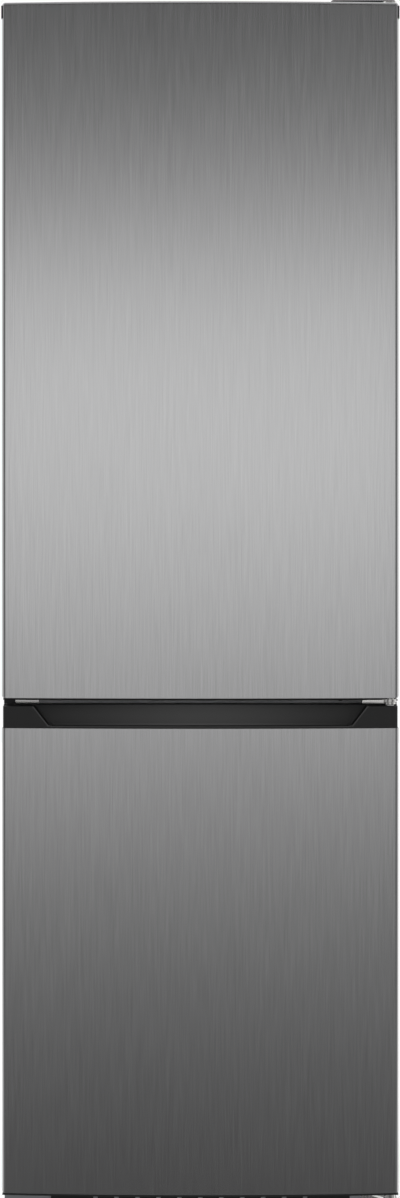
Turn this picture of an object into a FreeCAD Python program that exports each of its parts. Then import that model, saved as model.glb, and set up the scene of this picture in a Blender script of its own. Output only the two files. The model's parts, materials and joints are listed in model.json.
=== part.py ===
import FreeCAD, Part
import math
import os

# Fridge freezer on the floor: the fridge above, the freezer below, both doors hung on the right.
# Millimetres. X is to the right, -Y is the front, Z is up from the floor, and the origin is the
# middle of the footprint. Each function makes one sub-part; its own sizes stand above it.

V = FreeCAD.Vector
ALONG_X, ALONG_Y, UP = V(1, 0, 0), V(0, 1, 0), V(0, 0, 1)
DOWN = V(0, 0, -1)

# Facets: sides of small bars, of tubes and of turned parts, and steps of a rounded corner or bend
HEX = 6
WIRE_SIDES = 4
TUBE_SIDES = 8
TURNED_SIDES = 16
CORNER_STEPS = 3
BEND_STEPS = 2
HALF = 1 / 2
PARALLEL = 1e-6

# Driving dimensions of the cabinet and its doors
cabinet_width = 600.0
door_reveal = 0.9
front_bulge = 15.0
door_side_depth = 52.0
gasket_depth = 12.0
cabinet_depth = 535.0
rear_depth = 36.0
bottom_clearance = 38.0
lower_steel_height = 704.0
handle_height = 34.0
door_gap = 10.0
upper_door_height = 1048.0
top_gap = 2.0
cabinet_clearance = 30.0

# Walls of the cabinet, foam and both sheets together
side_wall = 44.5
top_wall = 45.0
floor_wall = 45.0
mullion_wall = 72.0
fridge_back_wall = 50.0
freezer_back_wall = 55.0
machine_room_height = 200.0
machine_room_depth = 189.0
machine_room_wall = 45.0

# Sheets, and the gaps that pieces are fitted with
wrapper_sheet = 0.8
skin_sheet = 0.6
liner_sheet = 1.5
glue_gap = 0.1
seat_gap = 0.2
running_fit = 0.05
slide_gap = 0.5
overrun = 5.0
full_turn = 360.0

# Hinge line, from the door's right side and its front edge there
pin_inset = 12.2
pin_behind = 20.0
pin_radius = 4.0
bush_radius = 6.5
bush_height = 12.0

# Places that follow from the sizes above
cabinet_half = cabinet_width / 2
door_half = cabinet_half - door_reveal
overall_depth = front_bulge + door_side_depth + gasket_depth + cabinet_depth + rear_depth
front_y = -overall_depth / 2
edge_y = front_y + front_bulge
door_back_y = edge_y + door_side_depth
cabinet_front_y = door_back_y + gasket_depth
cabinet_back_y = cabinet_front_y + cabinet_depth
rear_y = cabinet_back_y + rear_depth
front_radius = (door_half**2 + front_bulge**2) / (2 * front_bulge)
front_centre_y = front_y + front_radius

lower_door_z = bottom_clearance
handle_z = lower_door_z + lower_steel_height
handle_top_z = handle_z + handle_height
upper_door_z = handle_top_z + door_gap
upper_door_top_z = upper_door_z + upper_door_height
cabinet_z = cabinet_clearance
cabinet_top_z = upper_door_top_z + top_gap
gap_middle_z = handle_top_z + door_gap / 2
freezer_top_z = gap_middle_z - mullion_wall / 2
fridge_z = gap_middle_z + mullion_wall / 2
fridge_top_z = cabinet_top_z - top_wall
freezer_z = cabinet_z + floor_wall
inner_half = cabinet_half - side_wall
fridge_back_y = cabinet_back_y - fridge_back_wall
freezer_back_y = cabinet_back_y - freezer_back_wall
machine_y = cabinet_back_y - machine_room_depth
machine_top_z = cabinet_z + machine_room_height
hump_y = machine_y - machine_room_wall
hump_top_z = machine_top_z + machine_room_wall
pin_x = door_half - pin_inset
pin_y = edge_y + pin_behind


# Helpers

def block(x, y, z):
    """A box between the two values of each pair."""
    return Part.makeBox(x[1] - x[0], y[1] - y[0], z[1] - z[0], V(x[0], y[0], z[0]))


def rod(radius, start, end):
    along = end - start
    return Part.makeCylinder(radius, along.Length, start, along)


def prism(points, along):
    """The outline through the points, closed and extruded."""
    return Part.Face(Part.makePolygon(points + points[:1])).extrude(along)


def fused(pieces):
    whole = pieces[0].multiFuse(pieces[1:]) if len(pieces) > 1 else pieces[0]
    return whole.removeSplitter()


def cut(piece, tools):
    return piece.cut(Part.makeCompound(tools)).removeSplitter()


def edges_along(shape, direction):
    """The straight edges of a shape that run along a direction."""
    return [
        e for e in shape.Edges
        if isinstance(e.Curve, Part.Line) and e.Curve.Direction.cross(direction).Length < PARALLEL
    ]


def faceted(outline, start, along):
    """An outline of (side, up) pairs, stood across a direction at the start and extruded along it."""
    forward = V(along).normalize()
    aside = ALONG_X if abs(forward.x) < HALF else ALONG_Y
    upward = forward.cross(aside)
    return prism([start + aside * u + upward * v for u, v in outline], along)


def ngon(radius, sides, around=False):
    """Corners of a regular polygon inside a circle, or around it for a bore."""
    reach = radius / math.cos(math.pi / sides) if around else radius
    turn = 2 * math.pi / sides
    angles = [(n + HALF) * turn for n in range(sides)]
    return [(reach * math.cos(angle), reach * math.sin(angle)) for angle in angles]


def bar(radius, start, end, sides=HEX, around=False):
    """A small round bar, pin or bore with few flat sides."""
    return faceted(ngon(radius, sides, around), start, end - start)


def turned(profile, start, along, sides):
    """A turned body with flat facets through (radius, share of the way along) pairs."""
    forward = V(along).normalize()
    aside = ALONG_X if abs(forward.x) < HALF else ALONG_Y
    upward = forward.cross(aside)
    rings = [
        [start + along * share + aside * u + upward * v for u, v in ngon(radius, sides)]
        for radius, share in profile
    ]
    outlines = [rings[0], rings[-1]]
    for low, high in zip(rings, rings[1:]):
        outlines += [[low[n - 1], low[n], high[n], high[n - 1]] for n in range(sides)]
    faces = [Part.Face(Part.makePolygon(corners + corners[:1])) for corners in outlines]
    body = Part.makeSolid(Part.makeShell(faces))
    return body if body.Volume > 0 else body.reversed()


def rounded_block(x, y, z, radius, direction=UP):
    """A box whose four edges along a direction are rounded in a few flat steps."""
    spans = {0: x, 1: y, 2: z}
    axis = (direction.x, direction.y, direction.z).index(1)
    first, second = [n for n in range(3) if n != axis]
    (a0, a1), (b0, b1) = spans[first], spans[second]
    centres = ((a1 - radius, b1 - radius, 0), (a0 + radius, b1 - radius, 1),
               (a0 + radius, b0 + radius, 2), (a1 - radius, b0 + radius, 3))
    points = []
    for a, b, quarter in centres:
        for step in range(CORNER_STEPS + 1):
            turn = (quarter + step / CORNER_STEPS) * math.pi / 2
            place = [0.0, 0.0, 0.0]
            place[first], place[second] = a + radius * math.cos(turn), b + radius * math.sin(turn)
            place[axis] = spans[axis][0]
            points.append(V(*place))
    return prism(points, direction * (spans[axis][1] - spans[axis][0]))


def open_tray(x, y, z, wall, radius):
    """A bin with an open top and rounded upright corners."""
    outer = rounded_block(x, y, z, radius)
    inner = rounded_block(
        (x[0] + wall, x[1] - wall), (y[0] + wall, y[1] - wall), (z[0] + wall, z[1] + overrun),
        radius - wall,
    )
    return outer.cut(inner)


def mirrored(shape):
    """The shape and its mirror image across the middle of the cabinet."""
    return [shape, shape.mirror(V(0, 0, 0), ALONG_X)]


def bent_tube(points, radius, bend, sides=HEX):
    """A tube along straight runs, bent at each corner in short straight steps on a tangent arc."""
    path = [points[0]]
    for before, corner, after in zip(points, points[1:], points[2:]):
        inward, outward = (corner - before).normalize(), (after - corner).normalize()
        turn = inward.getAngle(outward)
        first = corner - inward * bend * math.tan(turn / 2)
        square = (outward - inward * inward.dot(outward)).normalize()
        centre = first + square * bend
        for step in range(BEND_STEPS + 1):
            angle = turn * step / BEND_STEPS
            spot = centre - square * bend * math.cos(angle) + inward * bend * math.sin(angle)
            if (spot - path[-1]).Length > glue_gap:
                path.append(spot)
    path.append(points[-1])
    forward = (path[1] - path[0]).normalize()
    aside = ALONG_Y.cross(forward).normalize() if abs(forward.y) < HALF else ALONG_X
    upward = forward.cross(aside)
    corners = [path[0] + aside * u + upward * v for u, v in ngon(radius, sides)]
    profile = Part.makePolygon(corners + corners[:1])
    return Part.makePolygon(path).makePipeShell([profile], True, False, 1)


def bulged_y(x, inset=0.0):
    """Where the curved door front lies at x, or a surface that far behind it."""
    return front_centre_y - math.sqrt((front_radius - inset) ** 2 - x**2)


def bulged_slab(half, inset, back_y, z):
    """A slab whose front is parallel to the door front, from side to side and back to back_y."""
    side_y = bulged_y(half, inset)
    front = Part.Arc(V(-half, side_y, z[0]), V(0, bulged_y(0, inset), z[0]), V(half, side_y, z[0]))
    rest = Part.makePolygon(
        [V(half, side_y, z[0]), V(half, back_y, z[0]), V(-half, back_y, z[0]), V(-half, side_y, z[0])]
    )
    outline = Part.Wire([front.toShape()] + rest.Edges)
    return Part.Face(outline).extrude(V(0, 0, z[1] - z[0]))


def front_edges(shape):
    """The edges round the curved front of a slab."""
    curved = [f for f in shape.Faces if isinstance(f.Surface, Part.Cylinder)]
    largest = max(curved, key=lambda face: face.Area)
    return largest.Edges


def save(name, *pieces):
    """Writes one sub-part, from one or more closed solids."""
    solids = [s for piece in pieces for s in piece.Solids]
    shape = solids[0] if len(solids) == 1 else Part.makeCompound(solids)
    shape.exportStep(f"parts/{name}.step")
    print(name, len(solids), "solids, valid" if shape.isValid() else "solids, NOT VALID")


# Cabinet shell

wrapper_front_flange = 18.0
wrapper_rear_flange = 12.0
wrapper_edge_radius = 3.0


def outer_wrapper():
    """Painted sheet folded over the left side, the top and the right side."""
    z = (cabinet_z, cabinet_top_z)
    whole = block((-cabinet_half, cabinet_half), (cabinet_front_y, cabinet_back_y), z)
    top_edges = [e for e in edges_along(whole, ALONG_Y) if e.CenterOfMass.z > gap_middle_z]
    whole = whole.makeFillet(wrapper_edge_radius, top_edges)
    half = cabinet_half - wrapper_sheet
    hollow = block(
        (-half, half),
        (cabinet_front_y + wrapper_sheet, cabinet_back_y - wrapper_sheet),
        (cabinet_z - overrun, cabinet_top_z - wrapper_sheet),
    )
    inner_edges = [e for e in edges_along(hollow, ALONG_Y) if e.CenterOfMass.z > gap_middle_z]
    hollow = hollow.makeFillet(wrapper_edge_radius - wrapper_sheet, inner_edges)
    windows = [
        block(
            (-cabinet_half + flange, cabinet_half - flange),
            (y - overrun, y + overrun),
            (cabinet_z - overrun, cabinet_top_z - flange),
        )
        for flange, y in ((wrapper_front_flange, cabinet_front_y), (wrapper_rear_flange, cabinet_back_y))
    ]
    return cut(whole, [hollow] + windows)


back_rib_width = 26.0
back_rib_height = 1.6
back_rib_top_width = 14.0
back_rib_margin = 40.0
back_rib_count = 5


def back_panel():
    """Galvanised sheet down the back, bent forward over the machine room and down to the base."""
    top = cabinet_top_z - wrapper_sheet
    half = cabinet_half - wrapper_sheet
    y_in, y_out = cabinet_back_y - wrapper_sheet * 2, cabinet_back_y - wrapper_sheet
    low = machine_top_z - wrapper_sheet
    panel = block((-half, half), (y_in, y_out), (low, top))
    corners = [e for e in edges_along(panel, ALONG_Y) if e.CenterOfMass.z > top - seat_gap]
    panel = panel.makeChamfer(wrapper_edge_radius, corners)
    rib_half = half - back_rib_margin
    rib_step = (top - machine_top_z) / (back_rib_count + 1)
    ribs = []
    for n in range(back_rib_count):
        z = machine_top_z + rib_step * (n + 1)
        outline = [
            V(-rib_half, y_out, z - back_rib_width / 2), V(-rib_half, y_out, z + back_rib_width / 2),
            V(-rib_half, y_out + back_rib_height, z + back_rib_top_width / 2),
            V(-rib_half, y_out + back_rib_height, z - back_rib_top_width / 2),
        ]
        ribs.append(prism(outline, V(2 * rib_half, 0, 0)))
    # The bend runs between the side walls of foam, forward over the room and down its front
    inner = inner_half + liner_sheet
    span, front = (-inner, inner), (machine_y, machine_y + wrapper_sheet)
    bend = [
        block(span, (machine_y, y_in), (low, machine_top_z)),
        block(span, front, (cabinet_z + base_sheet, low)),
    ]
    return fused([panel] + bend + ribs)


def insulation_foam():
    """Slabs of foam between the wrapper, the back panel and the liners, face to face."""
    outer = cabinet_half - wrapper_sheet
    inner = inner_half + liner_sheet
    front, back = cabinet_front_y + liner_sheet, cabinet_back_y - wrapper_sheet * 2
    low, high = cabinet_z + base_sheet, cabinet_top_z - wrapper_sheet
    plate_gap = machine_plate_sheet + glue_gap
    sides = []
    for x in ((-outer, -inner), (inner, outer)):
        sides.append(block(x, (front, back), (machine_top_z, high - wrapper_edge_radius)))
        sides.append(block(x, (front, back - plate_gap), (low, machine_top_z)))
    span = (-inner, inner)
    fridge_rear, freezer_rear = fridge_back_y + liner_sheet, freezer_back_y + liner_sheet
    return sides + [
        block(span, (front, back), (fridge_top_z + liner_sheet, high)),
        block(span, (fridge_rear, back), (fridge_z - liner_sheet, fridge_top_z + liner_sheet)),
        block(span, (freezer_rear, back), (machine_top_z, freezer_top_z + liner_sheet)),
        block(span, (cabinet_front_y + crossbeam_depth + glue_gap, back),
              (freezer_top_z + liner_sheet, fridge_z - liner_sheet)),
        block(span, (front, machine_y), (low, freezer_z - liner_sheet)),
        block(span, (hump_y + liner_sheet, machine_y), (freezer_z - liner_sheet, machine_top_z)),
        block(span, (hump_y + liner_sheet, freezer_rear), (machine_top_z, hump_top_z - liner_sheet)),
    ]


# Shelf ribs moulded on the liners: heights are shares of the space that they stand in
rib_width = 7.0
rib_height = 10.0
rib_tip = 4.0
shelf_front_gap = 116.0
shelf_back_gap = 32.0
shelf_height_shares = (0.36, 0.56, 0.76)
spare_rib_shares = (0.28, 0.46, 0.66, 0.86)
crisper_cover_share = 0.19
crossbeam_depth = 20.0
crossbeam_height = 32.0
crossbeam_sheet = 1.5

shelf_front_y = cabinet_front_y + shelf_front_gap
shelf_back_y = fridge_back_y - shelf_back_gap


def fridge_height(share):
    return fridge_z + share * (fridge_top_z - fridge_z)


def shelf_ribs(z, y):
    """A rounded rib on each side wall whose flat top lies at z."""
    outline = [
        V(inner_half, y[0], z), V(inner_half - rib_width, y[0], z),
        V(inner_half - rib_width, y[0], z - rib_tip), V(inner_half, y[0], z - rib_height),
    ]
    return mirrored(prism(outline, V(0, y[1] - y[0], 0)))


def fridge_liner():
    """White inner box of the fridge, with a front flange and ribs that carry the shelves."""
    half, t = inner_half, liner_sheet
    tub = block(
        (-half - t, half + t), (cabinet_front_y, fridge_back_y + t), (fridge_z - t, fridge_top_z + t),
    )
    flange_half = cabinet_half - wrapper_front_flange
    flange = block(
        (-flange_half, flange_half), (cabinet_front_y, cabinet_front_y + t),
        (gap_middle_z + crossbeam_height / 2, cabinet_top_z - wrapper_front_flange),
    )
    hollow = block((-half, half), (cabinet_front_y - overrun, fridge_back_y), (fridge_z, fridge_top_z))
    levels = [fridge_height(s) for s in shelf_height_shares + spare_rib_shares + (crisper_cover_share,)]
    ribs = [rib for z in levels for rib in shelf_ribs(z, (shelf_front_y, shelf_back_y))]
    return fused([cut(fused([tub, flange]), [hollow])] + ribs)


freezer_shelf_front_gap = 46.0
freezer_shelf_z = (
    hump_top_z + liner_sheet,
    hump_top_z + (freezer_top_z - hump_top_z) / 2,
)
freezer_front_y = cabinet_front_y + freezer_shelf_front_gap


def freezer_liner():
    """White inner box of the freezer, stepped over the machine room."""
    half, t = inner_half, liner_sheet

    def stepped(grow, front, width):
        back = freezer_back_y + grow
        return prism([
            V(-width, front, freezer_z - grow), V(-width, hump_y + grow, freezer_z - grow),
            V(-width, hump_y + grow, hump_top_z - grow), V(-width, back, hump_top_z - grow),
            V(-width, back, freezer_top_z + grow), V(-width, front, freezer_top_z + grow),
        ], V(2 * width, 0, 0))

    flange_half = cabinet_half - wrapper_front_flange
    flange = block(
        (-flange_half, flange_half), (cabinet_front_y, cabinet_front_y + t),
        (cabinet_z + base_sheet, gap_middle_z - crossbeam_height / 2),
    )
    shell = fused([stepped(t, cabinet_front_y, half + t), flange])
    shell = cut(shell, [stepped(0.0, cabinet_front_y - overrun, half)])
    ends = (hump_y - seat_gap, evaporator_cover_y - slide_gap)
    ribs = [rib for z, end in zip(freezer_shelf_z, ends) for rib in shelf_ribs(z, (freezer_front_y, end))]
    return fused([shell] + ribs)


def front_crossbeam():
    """Steel channel across the front between the two liners, which carries the middle hinge."""
    half = cabinet_half - wrapper_front_flange
    z = (gap_middle_z - crossbeam_height / 2, gap_middle_z + crossbeam_height / 2)
    y = (cabinet_front_y, cabinet_front_y + crossbeam_depth)
    beam = block((-half, half), y, z)
    # The web lies behind the front flanges of the wrapper, and the side walls of foam end it
    channel = block(
        (-half - overrun, half + overrun), (y[0] + crossbeam_sheet, y[1] + overrun),
        (z[0] + crossbeam_sheet, z[1] - crossbeam_sheet),
    )
    inner = inner_half + liner_sheet
    ends = [
        block(x, (cabinet_front_y + crossbeam_sheet, y[1] + overrun), (z[0] - overrun, z[1] + overrun))
        for x in ((-half - overrun, -inner), (inner, half + overrun))
    ]
    return cut(beam, [channel] + ends)


# Base under the cabinet: pan, feet, rollers, plinth
base_sheet = 1.5
base_skirt = 16.0
foot_inset_x = 34.0
foot_inset_y = 40.0
foot_pad_radius = 17.0
foot_pad_height = 5.0
foot_nut_radius = 13.0
foot_nut_height = 7.0
foot_stud_radius = 5.0
foot_boss_radius = 9.0
foot_boss_height = 14.0
foot_top_gap = 1.5
foot_pad_rim_share = 0.6
roller_radius = 15.0
roller_width = 18.0
roller_inset_x = 40.0
roller_inset_y = 34.0
roller_groove = 1.5
roller_rim_share = 0.12
axle_radius = 3.0
roller_bracket_sheet = 2.0
roller_bracket_gap = 1.0
roller_bracket_length = 26.0
axle_edge = 6.0
cord_inlet_side_gap = 95.0
inlet_plate_height = 44.0
inlet_plate_width = 90.0

foot_x = cabinet_half - foot_inset_x
foot_y = cabinet_front_y + foot_inset_y
roller_x = cabinet_half - roller_inset_x
roller_y = cabinet_back_y - roller_inset_y
bracket_inner = roller_width / 2 + roller_bracket_gap
cord_inlet_x = cord_inlet_side_gap - cabinet_half
inlet_z = cabinet_z + base_sheet + inlet_plate_height / 2


def base_frame():
    """Pressed pan under the foam and the machine room, with foot bosses and roller brackets."""
    half = cabinet_half - wrapper_sheet - glue_gap
    y = (cabinet_front_y, cabinet_back_y - wrapper_sheet - glue_gap)
    plate = block((-half, half), (y[0] + wrapper_sheet, y[1]), (cabinet_z, cabinet_z + base_sheet))
    # Skirts hang below the cabinet at the front and both sides
    skirts = [block((-half, half), (y[0], y[0] + base_sheet), (cabinet_z - base_skirt, cabinet_z))]
    skirts += [
        block(x, y, (cabinet_z - base_skirt, cabinet_z))
        for x in ((-half, -half + base_sheet), (half - base_sheet, half))
    ]
    bosses = mirrored(bar(
        foot_boss_radius, V(foot_x, foot_y, cabinet_z - foot_boss_height), V(foot_x, foot_y, cabinet_z),
        2 * HEX,
    ))
    bores = mirrored(bar(
        foot_stud_radius + running_fit, V(foot_x, foot_y, cabinet_z - foot_boss_height - overrun),
        V(foot_x, foot_y, cabinet_z + base_sheet + overrun), 2 * HEX, around=True,
    ))
    brackets = []
    for side in (-1, 1):
        x0 = roller_x + side * bracket_inner
        x1 = x0 + side * roller_bracket_sheet
        bracket = block(
            (min(x0, x1), max(x0, x1)),
            (roller_y - roller_bracket_length / 2, roller_y + roller_bracket_length / 2),
            (roller_radius - axle_edge, cabinet_z),
        )
        brackets += mirrored(bracket)
    axle_reach = bracket_inner + roller_bracket_sheet + overrun
    axle_holes = mirrored(bar(
        axle_radius + running_fit, V(roller_x - axle_reach, roller_y, roller_radius),
        V(roller_x + axle_reach, roller_y, roller_radius), 2 * HEX, around=True,
    ))
    return cut(fused([plate] + skirts + bosses + brackets), bores + axle_holes)


machine_plate_sheet = 1.2


def machine_room_plates():
    """Folded plates that close the foam at both sides of the machine room and at its back corners."""
    outer = cabinet_half - wrapper_sheet - glue_gap
    inner = inner_half + liner_sheet
    back = cabinet_back_y - wrapper_sheet - glue_gap
    z = (cabinet_z + base_sheet, machine_top_z - wrapper_sheet)
    side = block((inner - machine_plate_sheet, inner), (machine_y + wrapper_sheet, back), z)
    corner = block((inner - machine_plate_sheet, outer), (back - machine_plate_sheet, back), z)
    return mirrored(fused([side, corner]))


inlet_flange_radius = 13.0
inlet_flange = 3.0
inlet_bore = 5.0
inlet_neck = 5.0
inlet_sheet = 2.5


def cord_inlet():
    """Moulded plate on the base with the mouth for the mains lead. The lead is not here."""
    face = cabinet_back_y - wrapper_sheet - glue_gap
    plate = block(
        (cord_inlet_x - inlet_plate_width / 2, cord_inlet_x + inlet_plate_width / 2),
        (face - inlet_sheet, face), (cabinet_z + base_sheet, cabinet_z + base_sheet + inlet_plate_height),
    )
    centre = V(cord_inlet_x, face, inlet_z)
    start, end = centre - ALONG_Y * (inlet_sheet + inlet_neck), centre + ALONG_Y * inlet_flange
    mouth = bar(inlet_flange_radius, start, end, 2 * HEX)
    bore = bar(inlet_bore, start - ALONG_Y * overrun, end + ALONG_Y * overrun, 2 * HEX, around=True)
    return cut(fused([plate, mouth]), [bore])


def levelling_foot():
    """Screw foot: a twelve-sided pad, a six-sided adjusting collar and a stud in the base's boss."""
    pad_top, nut_top = foot_pad_height, foot_pad_height + foot_nut_height
    ground = V(foot_x, foot_y, 0)
    pad = turned(((foot_pad_radius, 0), (foot_pad_radius, foot_pad_rim_share), (foot_nut_radius, 1)),
                 ground, UP * pad_top, 2 * HEX)
    collar = bar(foot_nut_radius, ground + UP * pad_top, ground + UP * nut_top)
    stud = rod(foot_stud_radius, ground + UP * nut_top, ground + UP * (cabinet_z - foot_top_gap))
    return fused([pad, collar, stud])


def roller():
    """Rear roller, turned in one piece with the axle that runs in the brackets."""
    axle_half = bracket_inner + roller_bracket_sheet + roller_groove
    centre = V(roller_x, roller_y, roller_radius)
    rim, shoulder = roller_radius - roller_groove, roller_rim_share
    wheel = turned(
        ((rim, 0), (roller_radius, shoulder), (roller_radius, 1 - shoulder), (rim, 1)),
        centre - ALONG_X * (roller_width / 2), ALONG_X * roller_width, TURNED_SIDES,
    )
    axle = rod(axle_radius, centre - ALONG_X * axle_half, centre + ALONG_X * axle_half)
    return fused([wheel, axle])


plinth_end_gap = 72.0
plinth_depth = 6.0
plinth_ground_gap = 6.0
plinth_slot_width = 7.0
plinth_slot_pitch = 32.0
plinth_slot_height = 12.0
plinth_slot_count = 11
plinth_chamfer_share = 1 / 3

plinth_half = cabinet_half - plinth_end_gap


def plinth():
    """Kick strip with air slots, clipped to the front skirt of the base."""
    z = (plinth_ground_gap, cabinet_z - glue_gap)
    y = (cabinet_front_y - plinth_depth, cabinet_front_y - glue_gap)
    strip = block((-plinth_half, plinth_half), y, z)
    front = [e for e in edges_along(strip, ALONG_X) if e.CenterOfMass.y < y[0] + plinth_depth / 2]
    strip = strip.makeChamfer(plinth_depth * plinth_chamfer_share, front)
    middle = (z[0] + z[1]) / 2
    slots = []
    for n in range(plinth_slot_count):
        x = (n - (plinth_slot_count - 1) / 2) * plinth_slot_pitch
        slots.append(block(
            (x - plinth_slot_width / 2, x + plinth_slot_width / 2), (y[0] - overrun, y[1] + overrun),
            (middle - plinth_slot_height / 2, middle + plinth_slot_height / 2),
        ))
    return cut(strip, slots)


# Machine room: compressor, its mounts and relay, the drip tray and the pipes
compressor_place_share = 0.2
compressor_radius = 72.0
compressor_height = 132.0
compressor_seam = 4.0
compressor_seam_height = 5.0
compressor_seam_share = 0.42
compressor_dome = 34.0
mount_height = 12.0
mount_radius = 11.0
mount_spread_x = 82.0
mount_spread_y = 52.0
mount_neck_radius = 5.0
foot_plate = 3.0
foot_plate_edge = 12.0

compressor_x = cabinet_half * compressor_place_share
compressor_y = (machine_y + cabinet_back_y) / 2
mount_z = cabinet_z + base_sheet
foot_plate_z = mount_z + mount_height
compressor_z = foot_plate_z + foot_plate
compressor_top_z = compressor_z + compressor_height


def compressor():
    """Hermetic shell: a drawn pot and lid with a welded seam, on a drilled foot plate."""
    r, h, dome = compressor_radius, compressor_height, compressor_dome
    seam = compressor_seam_share
    seam_top = seam + compressor_seam_height / h
    rounding = [
        (r - dome * (1 - math.sin(turn)), dome * (1 - math.cos(turn)) / h)
        for turn in (math.pi / 2 * step / CORNER_STEPS for step in range(CORNER_STEPS + 1))
    ]
    middle = [(r, seam), (r + compressor_seam, seam), (r + compressor_seam, seam_top), (r, seam_top)]
    profile = rounding + middle + [(radius, 1 - share) for radius, share in reversed(rounding)]
    shell = turned(profile, V(compressor_x, compressor_y, compressor_z), UP * h, TURNED_SIDES)
    plate = rounded_block(
        (compressor_x - mount_spread_x - foot_plate_edge, compressor_x + mount_spread_x + foot_plate_edge),
        (compressor_y - mount_spread_y - foot_plate_edge, compressor_y + mount_spread_y + foot_plate_edge),
        (foot_plate_z, compressor_z), foot_plate_edge / 2,
    )
    holes = [
        bar(mount_neck_radius + glue_gap, spot - UP * overrun, spot + UP * (foot_plate + overrun),
            around=True)
        for spot in mount_spots(foot_plate_z)
    ]
    return fused([shell, cut(plate, holes)])


def mount_spots(z):
    return [
        V(compressor_x + sx * mount_spread_x, compressor_y + sy * mount_spread_y, z)
        for sx in (-1, 1) for sy in (-1, 1)
    ]


def compressor_mounts():
    """Rubber grommets between the base and the compressor's foot plate."""
    return [
        fused([
            bar(mount_radius, spot, spot + UP * mount_height),
            bar(mount_neck_radius, spot + UP * mount_height, spot + UP * (mount_height + foot_plate * 2)),
        ])
        for spot in mount_spots(mount_z)
    ]


relay_width = 52.0
relay_depth = 34.0
relay_height = 58.0
relay_radius = 6.0


def relay_cover():
    """Box over the compressor's terminals, start relay and overload switch."""
    flat = (compressor_radius + compressor_seam) * math.cos(math.pi / TURNED_SIDES)
    x = compressor_x - flat - glue_gap
    middle = compressor_z + compressor_height * compressor_seam_share + compressor_seam_height
    return rounded_block(
        (x - relay_depth, x), (compressor_y - relay_width / 2, compressor_y + relay_width / 2),
        (middle - relay_height / 2, middle + relay_height / 2), relay_radius, ALONG_X,
    )


drip_tray_width = 220.0
drip_tray_depth = 118.0
drip_tray_height = 26.0
drip_tray_wall = 2.0
drip_tray_radius = 10.0


def drip_tray():
    """Tray on top of the warm compressor, where the defrost water dries off."""
    return open_tray(
        (compressor_x - drip_tray_width / 2, compressor_x + drip_tray_width / 2),
        (compressor_y - drip_tray_depth / 2, compressor_y + drip_tray_depth / 2),
        (compressor_top_z + seat_gap, compressor_top_z + seat_gap + drip_tray_height),
        drip_tray_wall, drip_tray_radius,
    )


# Condenser on the back: one serpentine tube between two grids of wire
condenser_tube_radius = 2.4
condenser_wire_radius = 1.0
condenser_standoff = 19.0
condenser_side_gap = 68.0
condenser_bottom_gap = 70.0
condenser_top_gap = 110.0
condenser_passes = 18
condenser_wire_count = 13
condenser_wire_overhang = 10.0
strap_width = 9.0
strap_sheet = 1.8
bracket_width = 20.0
bracket_height = 34.0
bracket_height_shares = (0.07, 0.83)
bracket_nose_radius = 6.0

condenser_half = cabinet_half - condenser_side_gap
condenser_y = cabinet_back_y + condenser_standoff
condenser_z = machine_top_z + condenser_bottom_gap
condenser_top_z = cabinet_top_z - condenser_top_gap
condenser_pitch = (condenser_top_z - condenser_z) / (condenser_passes - 1)


def condenser_tube():
    """The serpentine tube, from the compressor side at the bottom up to the top."""
    points = []
    for n in range(condenser_passes):
        z = condenser_z + n * condenser_pitch
        ends = [V(-condenser_half, condenser_y, z), V(condenser_half, condenser_y, z)]
        points += ends if n % 2 else ends[::-1]
    return bent_tube(points, condenser_tube_radius, condenser_pitch / 2)


def condenser_wires():
    """A grid of upright wires on each side of the tube, held by a flat strap at both ends."""
    half = condenser_half - condenser_pitch / 2 - bracket_width - strap_width - slide_gap
    z = (condenser_z - condenser_wire_overhang, condenser_top_z + condenser_wire_overhang)
    offset = condenser_tube_radius + strap_sheet / 2 + glue_gap / 2
    grids = []
    for side in (-1, 1):
        y = condenser_y + side * offset
        wires = []
        for n in range(condenser_wire_count):
            x = -half + 2 * half * n / (condenser_wire_count - 1)
            wires.append(bar(condenser_wire_radius, V(x, y, z[0]), V(x, y, z[1]), WIRE_SIDES))
        straps = [
            block((-half - strap_width, half + strap_width), (y - strap_sheet / 2, y + strap_sheet / 2),
                  (end - strap_width / 2, end + strap_width / 2))
            for end in z
        ]
        grids.append(fused(straps + wires))
    return grids


def condenser_brackets():
    """Plastic stand-offs screwed to the back panel: each holds the tube and stops at the wall."""
    face = cabinet_back_y - wrapper_sheet
    x = condenser_half - condenser_pitch / 2 - bracket_width / 2
    reach = condenser_tube_radius + seat_gap
    out = []
    for share in bracket_height_shares:
        z = condenser_z + round(share * (condenser_passes - 1)) * condenser_pitch
        body = block((x - bracket_width / 2, x + bracket_width / 2), (face, rear_y),
                     (z - bracket_height / 2, z + bracket_height / 2))
        nose = [e for e in edges_along(body, ALONG_X) if e.CenterOfMass.y > condenser_y]
        body = body.makeChamfer(bracket_nose_radius, nose)
        slot = block((x - bracket_width, x + bracket_width), (condenser_y - reach, condenser_y + reach),
                     (z - reach, z + bracket_height))
        out += mirrored(cut(body, [slot]))
    return out


pipe_radius = 3.0
suction_pipe_radius = 4.0
capillary_radius = 1.2
pipe_bend = 12.0
discharge_side_gap = 38.0
discharge_height = 40.0
suction_reach = 60.0
suction_height = 76.0
drier_side_gap = 53.0
drier_radius = 9.0
drier_length = 80.0
drier_top_gap = 60.0
drier_neck = 8.0
capillary_drop = 26.0
capillary_back_gap = 53.0

discharge_x = cabinet_half - discharge_side_gap
suction_x = compressor_x + compressor_radius + suction_reach
drier_x = cabinet_half - drier_side_gap
capillary_y = cabinet_back_y - capillary_back_gap


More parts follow.
